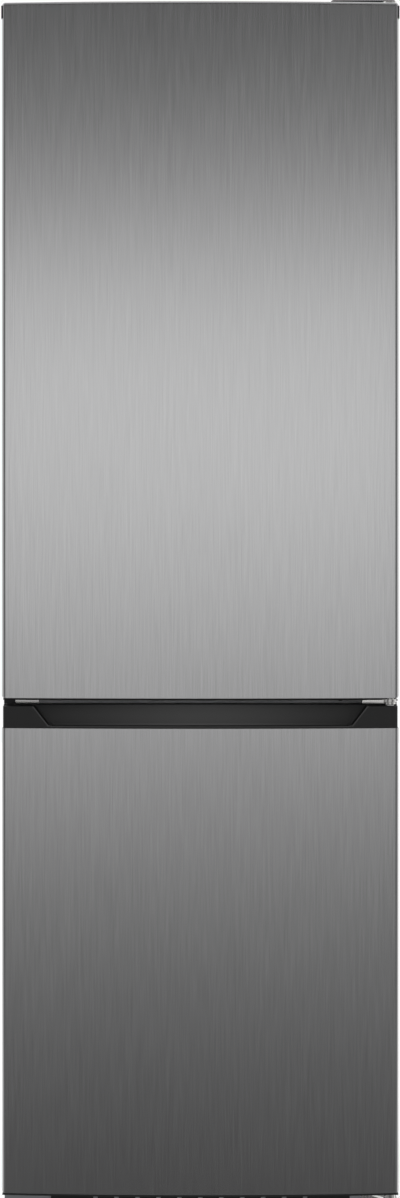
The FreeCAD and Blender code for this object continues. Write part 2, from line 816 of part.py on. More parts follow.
def refrigerant_pipes():
    """Hot pipe up to the condenser, filter drier and capillary, and the cold suction pipe."""
    side = compressor_y + compressor_radius + seat_gap
    hot_z = compressor_z + discharge_height
    hot = bent_tube([
        V(compressor_x, side, hot_z), V(compressor_x, condenser_y, hot_z),
        V(discharge_x, condenser_y, hot_z), V(discharge_x, condenser_y, condenser_top_z),
        V(condenser_half, condenser_y, condenser_top_z),
    ], pipe_radius, pipe_bend)
    drier_top = condenser_z - drier_top_gap
    drier_bottom = drier_top - drier_length
    liquid = bent_tube([
        V(condenser_half, condenser_y, condenser_z), V(drier_x, condenser_y, condenser_z),
        V(drier_x, condenser_y, drier_top),
    ], condenser_tube_radius, pipe_bend / 2)
    neck = drier_neck / drier_length
    end_radius = condenser_tube_radius
    drier = turned(
        ((end_radius, 0), (drier_radius, neck), (drier_radius, 1 - neck), (end_radius, 1)),
        V(drier_x, condenser_y, drier_bottom), UP * drier_length, TUBE_SIDES,
    )
    low = drier_bottom - capillary_drop
    capillary = bent_tube([
        V(drier_x, condenser_y, drier_bottom), V(drier_x, condenser_y, low), V(drier_x, capillary_y, low),
        V(drier_x, capillary_y, machine_top_z - wrapper_sheet),
    ], capillary_radius, pipe_bend)
    cold_z = compressor_z + suction_height
    cold = bent_tube([
        V(suction_x, compressor_y, machine_top_z - wrapper_sheet), V(suction_x, compressor_y, cold_z),
        V(compressor_x + compressor_radius + seat_gap, compressor_y, cold_z),
    ], suction_pipe_radius, pipe_bend)
    return [hot, fused([liquid, drier, capillary]), cold]


# Cold side: evaporator, its cover with the fan ring, the fan and the air duct
evaporator_cover_gap = 74.0
evaporator_cover_sheet = 2.5
evaporator_side_gap = 65.5
evaporator_depth = 48.0
evaporator_low_gap = 40.0
evaporator_height = 230.0
fin_count = 15
fin_sheet = 1.2
fin_root = 14.0
evaporator_tube_radius = 4.0
evaporator_tube_rows = 2
fan_top_gap = 78.0
fan_ring_radius = 52.0
fan_ring_wall = 3.0
fan_ring_depth = 24.0
fan_radius = 46.0
fan_hub_radius = 12.0
fan_hub_depth = 16.0
fan_front_gap = 3.0
fan_blade_count = 5
fan_blade_chord = 20.0
fan_blade_sheet = 1.6
fan_blade_pitch = 32.0
fan_shaft_radius = 2.0
fan_shaft_length = 16.0
motor_radius = 17.0
motor_depth = 22.0
motor_arm_width = 7.0
motor_arm_sheet = 4.0
motor_arm_count = 3
guard_bar_width = 3.0
guard_bar_count = 5
intake_slot_width = 6.0
intake_slot_height = 40.0
intake_slot_pitch = 40.0
intake_slot_count = 9
intake_low_gap = 24.0

evaporator_half = inner_half - evaporator_side_gap
evaporator_cover_y = freezer_back_y - evaporator_cover_gap
fan_z = freezer_top_z - fan_top_gap
fan_y = evaporator_cover_y + evaporator_cover_sheet + fan_front_gap
motor_y = fan_y + fan_hub_depth + fan_front_gap


def evaporator():
    """Finned block with the tube's bends showing at both ends, against the freezer's back wall."""
    back = freezer_back_y - seat_gap
    front = back - evaporator_depth
    z = hump_top_z + evaporator_low_gap
    pitch = 2 * evaporator_half / (fin_count - 1)
    outline = [V(-evaporator_half, back, z)]
    for n in range(fin_count):
        x = -evaporator_half + n * pitch
        outline += [V(x, front, z), V(x + fin_sheet, front, z)]
        if n < fin_count - 1:
            outline += [V(x + fin_sheet, back - fin_root, z), V(x + pitch, back - fin_root, z)]
    outline.append(V(evaporator_half + fin_sheet, back, z))
    fins = prism(outline, V(0, 0, evaporator_height))
    bends = []
    row = evaporator_height / (2 * evaporator_tube_rows)
    middle = (front + back) / 2
    for n in range(evaporator_tube_rows):
        low = z + row * (2 * n + HALF)
        for end, side in ((-evaporator_half, -1), (evaporator_half + fin_sheet, 1)):
            reach = end + side * row / 2
            bends.append(bent_tube(
                [V(end, middle, low), V(reach + side * evaporator_tube_radius, middle, low),
                 V(reach + side * evaporator_tube_radius, middle, low + row), V(end, middle, low + row)],
                evaporator_tube_radius, row / 2 - evaporator_tube_radius,
            ))
    return fused([fins] + bends)


def evaporator_cover():
    """Moulded panel before the evaporator: air slots, a fan ring with a guard, and the motor."""
    y = (evaporator_cover_y, evaporator_cover_y + evaporator_cover_sheet)
    half = inner_half - seat_gap
    panel = block((-half, half), y, (hump_top_z + seat_gap, freezer_top_z - seat_gap))
    centre = V(0, y[0], fan_z)
    hole = bar(fan_ring_radius, centre - ALONG_Y * overrun, centre + ALONG_Y * overrun, TURNED_SIDES)
    slots = []
    for n in range(intake_slot_count):
        x = (n - (intake_slot_count - 1) / 2) * intake_slot_pitch
        slots.append(block(
            (x - intake_slot_width / 2, x + intake_slot_width / 2), (y[0] - overrun, y[1] + overrun),
            (hump_top_z + intake_low_gap, hump_top_z + intake_low_gap + intake_slot_height),
        ))
    panel = cut(panel, [hole] + slots)
    ring_back = centre + ALONG_Y * (motor_y - y[0] + motor_arm_sheet)
    past = ALONG_Y * overrun
    ring = bar(fan_ring_radius + fan_ring_wall, centre, ring_back, TURNED_SIDES)
    ring = ring.cut(bar(fan_ring_radius, centre - past, ring_back + past, TURNED_SIDES))
    guard = []
    for n in range(guard_bar_count):
        x = (n - (guard_bar_count - 1) / 2) * 2 * fan_ring_radius / (guard_bar_count + 1)
        reach = math.sqrt((fan_ring_radius + fan_ring_wall / 2) ** 2 - x**2)
        width = (x - guard_bar_width / 2, x + guard_bar_width / 2)
        guard.append(block(width, y, (fan_z - reach, fan_z + reach)))
    hub = V(0, motor_y, fan_z)
    motor = bar(motor_radius, hub, hub + ALONG_Y * motor_depth, 2 * HEX)
    arms = []
    for n in range(motor_arm_count):
        arm = block(
            (-motor_arm_width / 2, motor_arm_width / 2), (motor_y, motor_y + motor_arm_sheet),
            (fan_z + motor_radius / 2, fan_z + fan_ring_radius + fan_ring_wall / 2),
        )
        arms.append(arm.rotate(hub, ALONG_Y, (n + HALF) * full_turn / motor_arm_count))
    shaft_hole = bar(
        fan_shaft_radius + running_fit, hub - ALONG_Y * overrun,
        hub + ALONG_Y * (fan_shaft_length + slide_gap), 2 * HEX, around=True,
    )
    return cut(fused([panel, ring, motor] + guard + arms), [shaft_hole])


def evaporator_fan():
    """Five pitched blades on a hub, on the motor's shaft."""
    hub = V(0, fan_y, fan_z)
    middle = fan_y + fan_hub_depth / 2
    blades = []
    for n in range(fan_blade_count):
        blade = block(
            (-fan_blade_chord / 2, fan_blade_chord / 2),
            (middle - fan_blade_sheet / 2, middle + fan_blade_sheet / 2),
            (fan_z + fan_hub_radius / 2, fan_z + fan_radius + overrun),
        )
        blade.rotate(V(0, middle, fan_z), UP, fan_blade_pitch)
        blades.append(blade.rotate(hub, ALONG_Y, n * full_turn / fan_blade_count))
    hub_back = hub + ALONG_Y * fan_hub_depth
    disc = bar(fan_radius, hub, hub_back, TURNED_SIDES)
    body = bar(fan_hub_radius, hub, hub_back, 2 * HEX)
    shaft = rod(fan_shaft_radius, hub_back, V(0, motor_y + fan_shaft_length, fan_z))
    return fused([fused(blades).common(disc), body, shaft])


duct_half = 58.0
duct_depth = 16.0
duct_low_gap = 250.0
duct_top_gap = 70.0
duct_radius = 6.0
duct_slot_half = 26.0
duct_slot_height = 7.0
duct_slot_depth = 5.0
duct_slot_pitch = 16.0
duct_slot_rows = 3


def air_duct_cover():
    """Tall cover on the fridge's back wall, with three louvres under each shelf."""
    y = (fridge_back_y - seat_gap - duct_depth, fridge_back_y - seat_gap)
    body = rounded_block((-duct_half, duct_half), y, (fridge_z + duct_low_gap, fridge_top_z - duct_top_gap),
                         duct_radius, ALONG_Y)
    slots = []
    for share in spare_rib_shares[1:]:
        for n in range(duct_slot_rows):
            z = fridge_height(share) - n * duct_slot_pitch
            slots.append(block((-duct_slot_half, duct_slot_half), (y[0] - overrun, y[0] + duct_slot_depth),
                               (z, z + duct_slot_height)))
    return cut(body, slots)


# Control unit under the fridge's ceiling
control_side_gap = 125.5
control_front_gap = 46.0
control_depth = 130.0
control_height = 32.0
control_radius = 7.0
lens_left_gap = 15.0
lens_right_gap = 95.0
lens_margin = 16.0
lens_height = 8.0
lens_radius = 5.0
knob_side_gap = 46.0
knob_radius = 13.0
knob_depth = 12.0
knob_stem_radius = 3.0
knob_stem_length = 12.0
knob_grip_width = 5.0
knob_grip_height = 5.0
knob_grip_share = 0.92

control_half = inner_half - control_side_gap
lens_x = (lens_left_gap - control_half, control_half - lens_right_gap)
knob_x = control_half - knob_side_gap
control_y = cabinet_front_y + control_front_gap
control_z = fridge_top_z - seat_gap - control_height
knob_z = control_z + control_height / 2


def control_housing():
    """Moulded housing for the lamp and the thermostat."""
    body = block((-control_half, control_half), (control_y, control_y + control_depth),
                 (control_z, fridge_top_z - seat_gap))
    rim = [e for e in body.Edges if e.CenterOfMass.z < control_z + seat_gap]
    body = body.makeChamfer(control_radius, rim)
    start = V(knob_x, control_y - overrun, knob_z)
    end = V(knob_x, control_y + knob_stem_length + slide_gap, knob_z)
    return cut(body, [bar(knob_stem_radius + running_fit, start, end, 2 * HEX, around=True)])


def light_lens():
    """Clear cover over the lamp, clipped under the control unit."""
    y = (control_y + lens_margin, control_y + control_depth - lens_margin)
    z = (control_z - seat_gap - lens_height, control_z - seat_gap)
    body = block(lens_x, y, z)
    return body.makeChamfer(lens_radius, [e for e in body.Edges if e.CenterOfMass.z < z[0] + seat_gap])


def thermostat_knob():
    """Round knob with a grip across it, on a stem in the housing."""
    face = V(knob_x, control_y - slide_gap, knob_z)
    disc = bar(knob_radius, face - ALONG_Y * knob_depth, face, TURNED_SIDES)
    grip = block(
        (knob_x - knob_grip_width / 2, knob_x + knob_grip_width / 2),
        (face.y - knob_depth - knob_grip_height, face.y - knob_depth / 2),
        (knob_z - knob_radius * knob_grip_share, knob_z + knob_radius * knob_grip_share),
    )
    stem = rod(knob_stem_radius, face, V(knob_x, control_y + knob_stem_length, knob_z))
    return fused([disc, grip, stem])


# Shelves
glass_sheet = 4.0
shelf_side_gap = 1.0
glass_radius = 6.0
trim_height = 13.0
trim_nose = 8.0
trim_grip = 9.0
trim_nose_share = 1 / 3
trim_side_gap = 1.0


def glass_plate(z, y):
    half = inner_half - shelf_side_gap
    return rounded_block((-half, half), y, (z + seat_gap, z + seat_gap + glass_sheet), glass_radius)


def shelf_levels():
    return [fridge_height(share) for share in shelf_height_shares]


def shelf_trims():
    """A rounded plastic nose gripping the front edge of each glass shelf and the crisper cover."""
    half = inner_half - rib_width - trim_side_gap
    trims = []
    for level in shelf_levels() + [fridge_height(crisper_cover_share)]:
        middle = level + seat_gap + glass_sheet / 2
        z = (middle - trim_height / 2, middle + trim_height / 2)
        strip = block((-half, half), (shelf_front_y - trim_nose, shelf_front_y + trim_grip), z)
        nose = [e for e in edges_along(strip, ALONG_X) if e.CenterOfMass.y < shelf_front_y]
        strip = strip.makeChamfer(trim_height * trim_nose_share, nose)
        groove = block(
            (-half - overrun, half + overrun),
            (shelf_front_y - glue_gap, shelf_front_y + trim_grip + overrun),
            (level + seat_gap - glue_gap, level + seat_gap + glass_sheet + glue_gap),
        )
        trims.append(cut(strip, [groove]))
    return trims


# Drawers: open bins with a thicker front and a grip lip
bin_wall = 2.5
bin_radius = 10.0
bin_front_sheet = 5.0
grip_half = 95.0
grip_reach = 14.0
grip_sheet = 3.0
grip_drop = 14.0
grip_top_gap = 16.0
drawer_side_gap = 3.0
drawer_front_gap = 38.0
drawer_back_gap = 14.0
drawer_top_gap = 6.0
hump_gap = 8.0
crisper_side_gap = 12.0
crisper_front_gap = 124.0
crisper_back_gap = 38.0
crisper_top_gap = 14.0

drawer_y = cabinet_front_y + drawer_front_gap
crisper_y = cabinet_front_y + crisper_front_gap


def drawer(half, y, z):
    """A bin that slides on the surface below it, with a flat front and a lip to pull it by."""
    tub = open_tray((-half, half), y, z, bin_wall, bin_radius)
    front = rounded_block((-half, half), (y[0], y[0] + bin_front_sheet), z, bin_radius / 2, ALONG_Y)
    lip_z = z[1] - grip_top_gap
    lip = [
        V(-grip_half, y[0], lip_z), V(-grip_half, y[0] - grip_reach, lip_z),
        V(-grip_half, y[0] - grip_reach, lip_z - grip_drop),
        V(-grip_half, y[0] - grip_reach + grip_sheet, lip_z - grip_drop),
        V(-grip_half, y[0] - grip_reach + grip_sheet, lip_z - grip_sheet),
        V(-grip_half, y[0], lip_z - grip_sheet),
    ]
    return fused([tub, front, prism(lip, V(2 * grip_half, 0, 0))])


def crisper_drawer():
    z = (fridge_z + seat_gap, fridge_height(crisper_cover_share) - crisper_top_gap)
    return drawer(inner_half - crisper_side_gap, (crisper_y, fridge_back_y - crisper_back_gap), z)


def freezer_drawers():
    """Three drawers from the floor up: the lowest is short, in front of the machine room."""
    floors = [freezer_z] + [level + seat_gap + glass_sheet for level in freezer_shelf_z]
    ceilings = [level - rib_height for level in freezer_shelf_z] + [freezer_top_z]
    backs = [hump_y - hump_gap] + [evaporator_cover_y - drawer_back_gap] * 2
    half = inner_half - drawer_side_gap
    return [
        drawer(half, (drawer_y, back), (floor + seat_gap, ceiling - drawer_top_gap))
        for floor, ceiling, back in zip(floors, ceilings, backs)
    ]


# Doors: a steel skin rolled over the edges of a foam core, plastic end caps and an inner liner
skin_edge_radius = 4.5
skin_corner_radius = 5.0
skin_hem = 5.0
edge_chamfer_share = 0.586
cap_height = 24.0
cap_inset = 5.2
ear_height = 19.0
ear_top_gap = 4.0
ear_width = 8.0
ear_proud = 0.9
ear_front_gap = 1.0
lip_height = 2.0
lip_inset = 0.6
grip_pocket_end_gap = 69.0
grip_pocket_height = 18.0
grip_pocket_back = 20.0
grip_pocket_radius = 6.0
nub_side_gap = 88.0
nub_radius = 3.0
nub_height = 3.8

grip_pocket_half = door_half - grip_pocket_end_gap
nub_x = door_half - nub_side_gap
liner_y = door_back_y - liner_sheet
hinge_bores_z = {
    "upper": (upper_door_z, upper_door_top_z),
    "lower": (lower_door_z, handle_top_z),
}


def door_skin(z, open_top=False):
    """A shallow tray of steel round the curved front, its edges and corners rounded."""
    top = z[1] + (cap_height if open_top else 0.0)
    back = liner_y - glue_gap
    outer = bulged_slab(door_half, 0.0, back, (z[0], top))
    outer = outer.makeFillet(skin_corner_radius, edges_along(outer, ALONG_Y))
    outer = outer.makeChamfer(skin_edge_radius * edge_chamfer_share, front_edges(outer))
    inner = bulged_slab(
        door_half - skin_sheet, skin_sheet, back + overrun, (z[0] + skin_sheet, top - skin_sheet)
    )
    inner = inner.makeChamfer(skin_edge_radius * edge_chamfer_share, edges_along(inner, ALONG_Y))
    inner = inner.makeChamfer(skin_edge_radius * edge_chamfer_share, front_edges(inner))
    # The flanges across the ends are narrow hems over the end caps
    def hem_window(end):
        return bulged_slab(door_half - skin_hem, skin_hem, back + overrun, (end - overrun, end + overrun))

    tools = [inner, hem_window(z[0])]
    if open_top:
        wide = door_half + overrun
        tools.append(block((-wide, wide), (front_y - overrun, back + overrun), (z[1], top + overrun)))
    else:
        tools.append(hem_window(top))
        tools += door_ears()
    return cut(outer, tools)


def core_slab(z):
    """A slab that fills the skin from side to side, clear of its rounded front edges."""
    inset = skin_sheet + glue_gap
    slab = bulged_slab(door_half - inset, inset, liner_y - glue_gap, z)
    uprights = [e for e in edges_along(slab, UP) if e.CenterOfMass.y < pin_y]
    return slab.makeChamfer(skin_edge_radius * edge_chamfer_share, uprights)


def door_ears():
    """The ends of the top cap that show at both upper corners of the door."""
    ear = block(
        (door_half + ear_proud - ear_width, door_half + ear_proud),
        (edge_y + ear_front_gap, liner_y - glue_gap),
        (upper_door_top_z - ear_top_gap - ear_height, upper_door_top_z - ear_top_gap),
    )
    return mirrored(ear)


def bush_hole(door, end):
    """The bore for a hinge bush in the cap at one end of a door."""
    low, high = hinge_bores_z[door]
    depth = bush_height + glue_gap
    z = (low - overrun, low + depth) if end == "bottom" else (high - depth, high + overrun)
    return bar(bush_radius, V(pin_x, pin_y, z[0]), V(pin_x, pin_y, z[1]), 2 * HEX, around=True)


def door_bushes(door):
    """Plastic bushes in the end caps, which turn on the hinge pins."""
    low, high = hinge_bores_z[door]
    bushes = []
    for z in ((low, low + bush_height), (high - bush_height, high)):
        ring = bar(bush_radius - glue_gap, V(pin_x, pin_y, z[0]), V(pin_x, pin_y, z[1]), 2 * HEX)
        bore = bar(pin_radius + running_fit, V(pin_x, pin_y, z[0] - overrun),
                   V(pin_x, pin_y, z[1] + overrun), 2 * HEX, around=True)
        bushes.append(ring.cut(bore))
    return bushes


def upper_door_top_cap():
    body = bulged_slab(door_half - cap_inset, cap_inset, liner_y - glue_gap,
                       (upper_door_top_z - cap_height, upper_door_top_z))
    return cut(fused([body] + door_ears()), [bush_hole("upper", "top")])


def upper_door_bottom_cap():
    """End cap with a finger recess along it, and the stop nub beside the hinge."""
    z = (upper_door_z + seat_gap, upper_door_z + cap_height)
    body = bulged_slab(door_half - cap_inset, cap_inset, liner_y - glue_gap, z)
    pocket = bulged_slab(grip_pocket_half, cap_inset + skin_hem, door_back_y - grip_pocket_back,
                         (z[0] - overrun, z[0] + grip_pocket_height))
    pocket = pocket.makeChamfer(grip_pocket_radius, edges_along(pocket, UP))
    nub_y = bulged_y(nub_x, cap_inset + skin_hem / 2)
    foot = V(nub_x, nub_y + nub_radius, z[0])
    nub = bar(nub_radius, foot - UP * nub_height, foot + UP * lip_height, 2 * HEX)
    return fused([cut(body, [pocket, bush_hole("upper", "bottom")]), nub.cut(pocket)])


handle_inset = 0.8
handle_half_gap = 0.6
handle_corner_radius = 3.0
handle_skirt = 14.0
scoop_end_gap = 49.0
scoop_end_slant = 23.0
scoop_floor_height = 3.0
scoop_corner_radius = 8.0
scoop_back_gap = 32.0
scoop_back_radius = 6.0
scoop_mouth_radius = 1.2
hook_wall = 4.0
hook_depth = 12.0
hook_end_gap = 4.0
hook_radius = 4.0

scoop_top_half = door_half - scoop_end_gap
scoop_floor_half = scoop_top_half - scoop_end_slant


def lower_door_handle_cap():
    """Moulded cap on the lower door: a slanted scoop, and a groove behind its lip to pull by."""
    back = liner_y - glue_gap
    body = bulged_slab(door_half - handle_half_gap, handle_inset, back, (handle_z, handle_top_z))
    shoulders = [e for e in edges_along(body, UP) if e.CenterOfMass.y < pin_y]
    shoulders += [e for e in front_edges(body) if e.CenterOfMass.z > handle_top_z - seat_gap]
    body = body.makeChamfer(handle_corner_radius / 2, shoulders)
    skirt = core_slab((handle_z - handle_skirt, handle_z))
    # The scoop: slanted ends that meet the floor in a round corner, and a rounded back
    floor_z = handle_z + scoop_floor_height
    slope = (scoop_top_half - scoop_floor_half) / (handle_top_z - floor_z)
    high, wide = handle_top_z + overrun, scoop_top_half + slope * overrun
    scoop_back = door_back_y - scoop_back_gap
    scoop = prism([
        V(-wide, front_y - overrun, high), V(-scoop_floor_half, front_y - overrun, floor_z),
        V(scoop_floor_half, front_y - overrun, floor_z), V(wide, front_y - overrun, high),
    ], V(0, scoop_back - front_y + overrun, 0))
    corners = [e for e in edges_along(scoop, ALONG_Y) if e.CenterOfMass.z < floor_z + seat_gap]
    scoop = scoop.makeFillet(scoop_corner_radius, corners)
    rear = [
        e for e in scoop.Edges
        if e.CenterOfMass.y > scoop_back - seat_gap and e.CenterOfMass.z < handle_top_z
    ]
    scoop = scoop.makeChamfer(scoop_back_radius, rear)
    hook = bulged_slab(scoop_floor_half - hook_end_gap, handle_inset + hook_wall, scoop_back,
                       (floor_z - hook_depth, floor_z + scoop_back_radius))
    lower = [e for e in front_edges(hook) if e.CenterOfMass.z < floor_z - hook_radius]
    hook = hook.makeChamfer(hook_radius, lower)
    return cut(fused([body, skirt]), [scoop, hook, bush_hole("lower", "top")])


def lower_door_bottom_cap():
    """End cap whose thin lip shows under the steel."""
    back = liner_y - glue_gap
    lip = bulged_slab(door_half - lip_inset, lip_inset, back, (lower_door_z, lower_door_z + lip_height))
    inner = bulged_slab(door_half - cap_inset, cap_inset, back,
                        (lower_door_z + lip_height, lower_door_z + cap_height))
    return cut(fused([lip, inner]), [bush_hole("lower", "bottom")])


# Inner side of the doors
liner_edge_gap = 3.0
dyke_side_gap = 5.5
dyke_width = 24.0
dyke_depth = 32.0
dyke_taper = 5.0
dyke_low_gap = 9.0
dyke_high_gap = 7.0
dyke_end_height = 20.0
panel_depth = 8.0
panel_margin = 14.0
panel_radius = 6.0
balcony_half_gap = 1.0
balcony_depth = 97.0
balcony_wall = 2.2
balcony_radius = 14.0
balcony_height = 76.0
bottle_rack_height = 112.0
bottle_rack_gap = 2.88
balcony_height_shares = (0.38, 0.69)
ledge_reach = 9.0
ledge_height = 8.0
ledge_depth = 60.0

dyke_outer_half = inner_half - dyke_side_gap


def upper_door_liner():
    """White inner sheet with a raised ring that the balconies hang in."""
    half = door_half - liner_edge_gap
    ends = (upper_door_z + liner_edge_gap, upper_door_top_z - liner_edge_gap)
    sheet = block((-half, half), (liner_y, door_back_y), ends)
    y = (door_back_y, door_back_y + dyke_depth)
    z = (fridge_z + dyke_low_gap, fridge_top_z - dyke_high_gap)
    outer, inner = dyke_outer_half, dyke_outer_half - dyke_width
    side = prism([
        V(outer, y[0], z[0]), V(outer - dyke_taper, y[1], z[0]),
        V(inner + dyke_taper, y[1], z[0]), V(inner, y[0], z[0]),
    ], V(0, 0, z[1] - z[0]))
    left = -outer + dyke_width / 2
    crosswise = [
        prism([
            V(left, y[0], base), V(left, y[1], base + sign * dyke_taper),
            V(left, y[1], base + sign * (dyke_end_height - dyke_taper)),
            V(left, y[0], base + sign * dyke_end_height),
        ], V(2 * outer - dyke_width, 0, 0))
        for base, sign in ((z[0], 1), (z[1], -1))
    ]
    ledges = []
    for low in balcony_levels():
        ledges += mirrored(block(
            (inner - ledge_reach, inner + dyke_taper / 2), (y[0], y[0] + ledge_depth / 2),
            (low - seat_gap - ledge_height, low - seat_gap),
        ))
    return fused([sheet] + mirrored(side) + crosswise + ledges)


def balcony_levels():
    rack_z = fridge_z + dyke_low_gap + dyke_end_height + bottle_rack_gap
    return [rack_z] + [upper_door_z + share * upper_door_height for share in balcony_height_shares]


def door_balcony(low, height):
    """Clear bin between the sides of the door's raised ring, with an open top."""
    half = dyke_outer_half - dyke_width - balcony_half_gap
    return open_tray((-half, half), (door_back_y + seat_gap, door_back_y + seat_gap + balcony_depth),
                     (low, low + height), balcony_wall, balcony_radius)


def lower_door_liner():
    """White inner sheet with a shallow raised panel that closes the freezer's mouth."""
    half = door_half - liner_edge_gap
    ends = (lower_door_z + liner_edge_gap, handle_top_z - liner_edge_gap)
    sheet = block((-half, half), (liner_y, door_back_y), ends)
    panel = block(
        (-inner_half + panel_margin, inner_half - panel_margin), (door_back_y, door_back_y + panel_depth),
        (freezer_z + panel_margin, freezer_top_z - panel_margin),
    )
    rim = [e for e in panel.Edges if e.CenterOfMass.y > door_back_y + panel_depth - seat_gap]
    return fused([sheet, panel.makeChamfer(panel_radius, rim)])


gasket_side_overlap = 26.5
gasket_width = 15.0
gasket_foot_depth = 4.0
gasket_bulb_inset = 2.5
gasket_overlap = 16.0
gasket_face_gap = 0.3
gasket_corner_radius = 4.0

gasket_half = inner_half + gasket_side_overlap


def door_gasket(z):
    """Magnetic seal: a flat foot on the liner and a bulb that meets the cabinet."""
    rings = []
    for inset, y in (
        (0.0, (door_back_y, door_back_y + gasket_foot_depth)),
        (gasket_bulb_inset, (door_back_y + gasket_foot_depth, cabinet_front_y - gasket_face_gap)),
    ):
        width = gasket_width - 2 * inset
        outer = rounded_block((-gasket_half + inset, gasket_half - inset), y, (z[0] + inset, z[1] - inset),
                              gasket_corner_radius, ALONG_Y)
        hole_half = gasket_half - inset - width
        inner = block((-hole_half, hole_half), (y[0] - overrun, y[1] + overrun),
                      (z[0] + inset + width, z[1] - inset - width))
        rings.append(outer.cut(inner))
    return fused(rings)


# Hinges. Every bracket holds its pins in one piece, and its flange is screwed to the cabinet
hinge_plate = 3.0
middle_plate = 4.0
middle_plate_low_share = 0.25
arm_radius = 10.0
collar_radius = 6.2
disc_radius = 8.5
disc_height = 3.2
collar_gap = 0.2
pin_end_gap = 1.0
flange_pin_gap = 4.5
flange_width = 36.0
flange_height = 28.0
arm_width = 20.0
tab_length = 12.0
tab_width = 6.0
tab_height = 2.5
top_plate_reach = 76.0
top_plate_front = 8.0
top_plate_length = 72.0
bottom_flange_inner = 41.0
bottom_flange_outer = 5.0
bottom_flange_height = 15.0
screw_head_radius = 4.2
screw_head_height = 2.2
screw_shank_radius = 2.0
screw_hole_gap = 0.15
middle_screw_shares = ((-0.28, 0.34), (0.28, 0.34), (0.0, -0.34))
top_screw_shares = ((0.2, 0.72), (0.8, 0.72), (0.5, 0.28))
bottom_screw_shares = ((0.2, 0.5), (0.8, 0.5))

flange_outer_x = pin_x - flange_pin_gap
top_plate_x = pin_x - top_plate_reach
bottom_flange_x = (pin_x - bottom_flange_inner, pin_x + bottom_flange_outer)
middle_plate_low = gap_middle_z - middle_plate * middle_plate_low_share
middle_plate_z = (middle_plate_low, middle_plate_low + middle_plate)
flange_y = cabinet_front_y - hinge_plate
bottom_plate_z = (cabinet_z - hinge_plate, cabinet_z)
top_plate_z = (cabinet_top_z, cabinet_top_z + hinge_plate)


def middle_screws():
    middle_x = flange_outer_x - flange_width / 2
    return [
        V(middle_x + sx * flange_width, flange_y, gap_middle_z + sz * flange_height)
        for sx, sz in middle_screw_shares
    ]


def top_screws():
    y0 = cabinet_front_y + top_plate_front
    width = pin_x + arm_radius - top_plate_x
    return [
        V(top_plate_x + sx * width, y0 + sy * top_plate_length, top_plate_z[1])
        for sx, sy in top_screw_shares
    ]


def bottom_screws():
    (x0, x1), z1 = bottom_flange_x, bottom_plate_z[1]
    return [
        V(x0 + sx * (x1 - x0), flange_y, z1 - sz * bottom_flange_height)
        for sx, sz in bottom_screw_shares
    ]


def screw_holes(spots, inward):
    return [
        bar(screw_shank_radius + screw_hole_gap, spot - inward * overrun,
            spot + inward * (hinge_plate + overrun), around=True)
        for spot in spots
    ]


def hinge_screws():
    """Six-sided flange screws in the three hinge brackets and the blank cover."""
    screws = []
    blank = [V(-spot.x, spot.y, spot.z) for spot in middle_screws()]
    groups = (
        (middle_screws(), ALONG_Y), (blank, ALONG_Y), (top_screws(), DOWN), (bottom_screws(), ALONG_Y),
    )
    for spots, inward in groups:
        for spot in spots:
            head = bar(screw_head_radius, spot - inward * screw_head_height, spot)
            screws.append(fused([head, bar(screw_shank_radius, spot, spot + inward * hinge_plate)]))
    return screws


def arm_plate(outline, z):
    """A flat bracket arm with a round end at the hinge pin."""
    plate = prism([V(x, y, z[0]) for x, y in outline], V(0, 0, z[1] - z[0]))
    return fused([plate, bar(arm_radius, V(pin_x, pin_y, z[0]), V(pin_x, pin_y, z[1]), 2 * HEX)])


def middle_hinge():
    """Bracket between the doors: flange, arm, and one pin up and one down on a collar."""
    x = (flange_outer_x - flange_width, flange_outer_x)
    z = (gap_middle_z - flange_height / 2, gap_middle_z + flange_height / 2)
    flange = rounded_block(x, (flange_y, cabinet_front_y), z, hinge_plate / 2, ALONG_Y)
    arm = arm_plate([
        (x[1] - arm_width, flange_y), (x[1], flange_y),
        (pin_x + arm_radius, pin_y), (pin_x - arm_radius, pin_y),
    ], middle_plate_z)
    low = V(pin_x, pin_y, handle_top_z + collar_gap)
    collar = bar(collar_radius, low, V(pin_x, pin_y, upper_door_z - collar_gap), 2 * HEX)
    disc = bar(disc_radius, low, low + UP * disc_height, 2 * HEX)
    pin = rod(pin_radius, V(pin_x, pin_y, handle_top_z - bush_height + pin_end_gap),
              V(pin_x, pin_y, upper_door_z + bush_height - pin_end_gap))
    tab = block((pin_x, pin_x + tab_length), (pin_y - tab_width / 2, pin_y + tab_width / 2),
                (middle_plate_z[1] - tab_height, middle_plate_z[1]))
    return cut(fused([flange, arm, collar, disc, pin, tab]), screw_holes(middle_screws(), ALONG_Y))


def top_hinge():
    """Flat bracket on the cabinet's top whose pin enters the upper door from above."""
    y0 = cabinet_front_y + top_plate_front
    right = pin_x + arm_radius
    plate = arm_plate([
        (top_plate_x, y0 + top_plate_length), (right, y0 + top_plate_length), (right, pin_y),
        (pin_x - arm_radius, pin_y), (pin_x - arm_radius - arm_width, y0), (top_plate_x, y0),
    ], top_plate_z)
    seat = V(pin_x, pin_y, top_plate_z[0])
    collar = bar(collar_radius, V(pin_x, pin_y, upper_door_top_z + collar_gap), seat, 2 * HEX)
    pin = rod(pin_radius, V(pin_x, pin_y, upper_door_top_z - bush_height + pin_end_gap), seat)
    return cut(fused([plate, collar, pin]), screw_holes(top_screws(), DOWN))


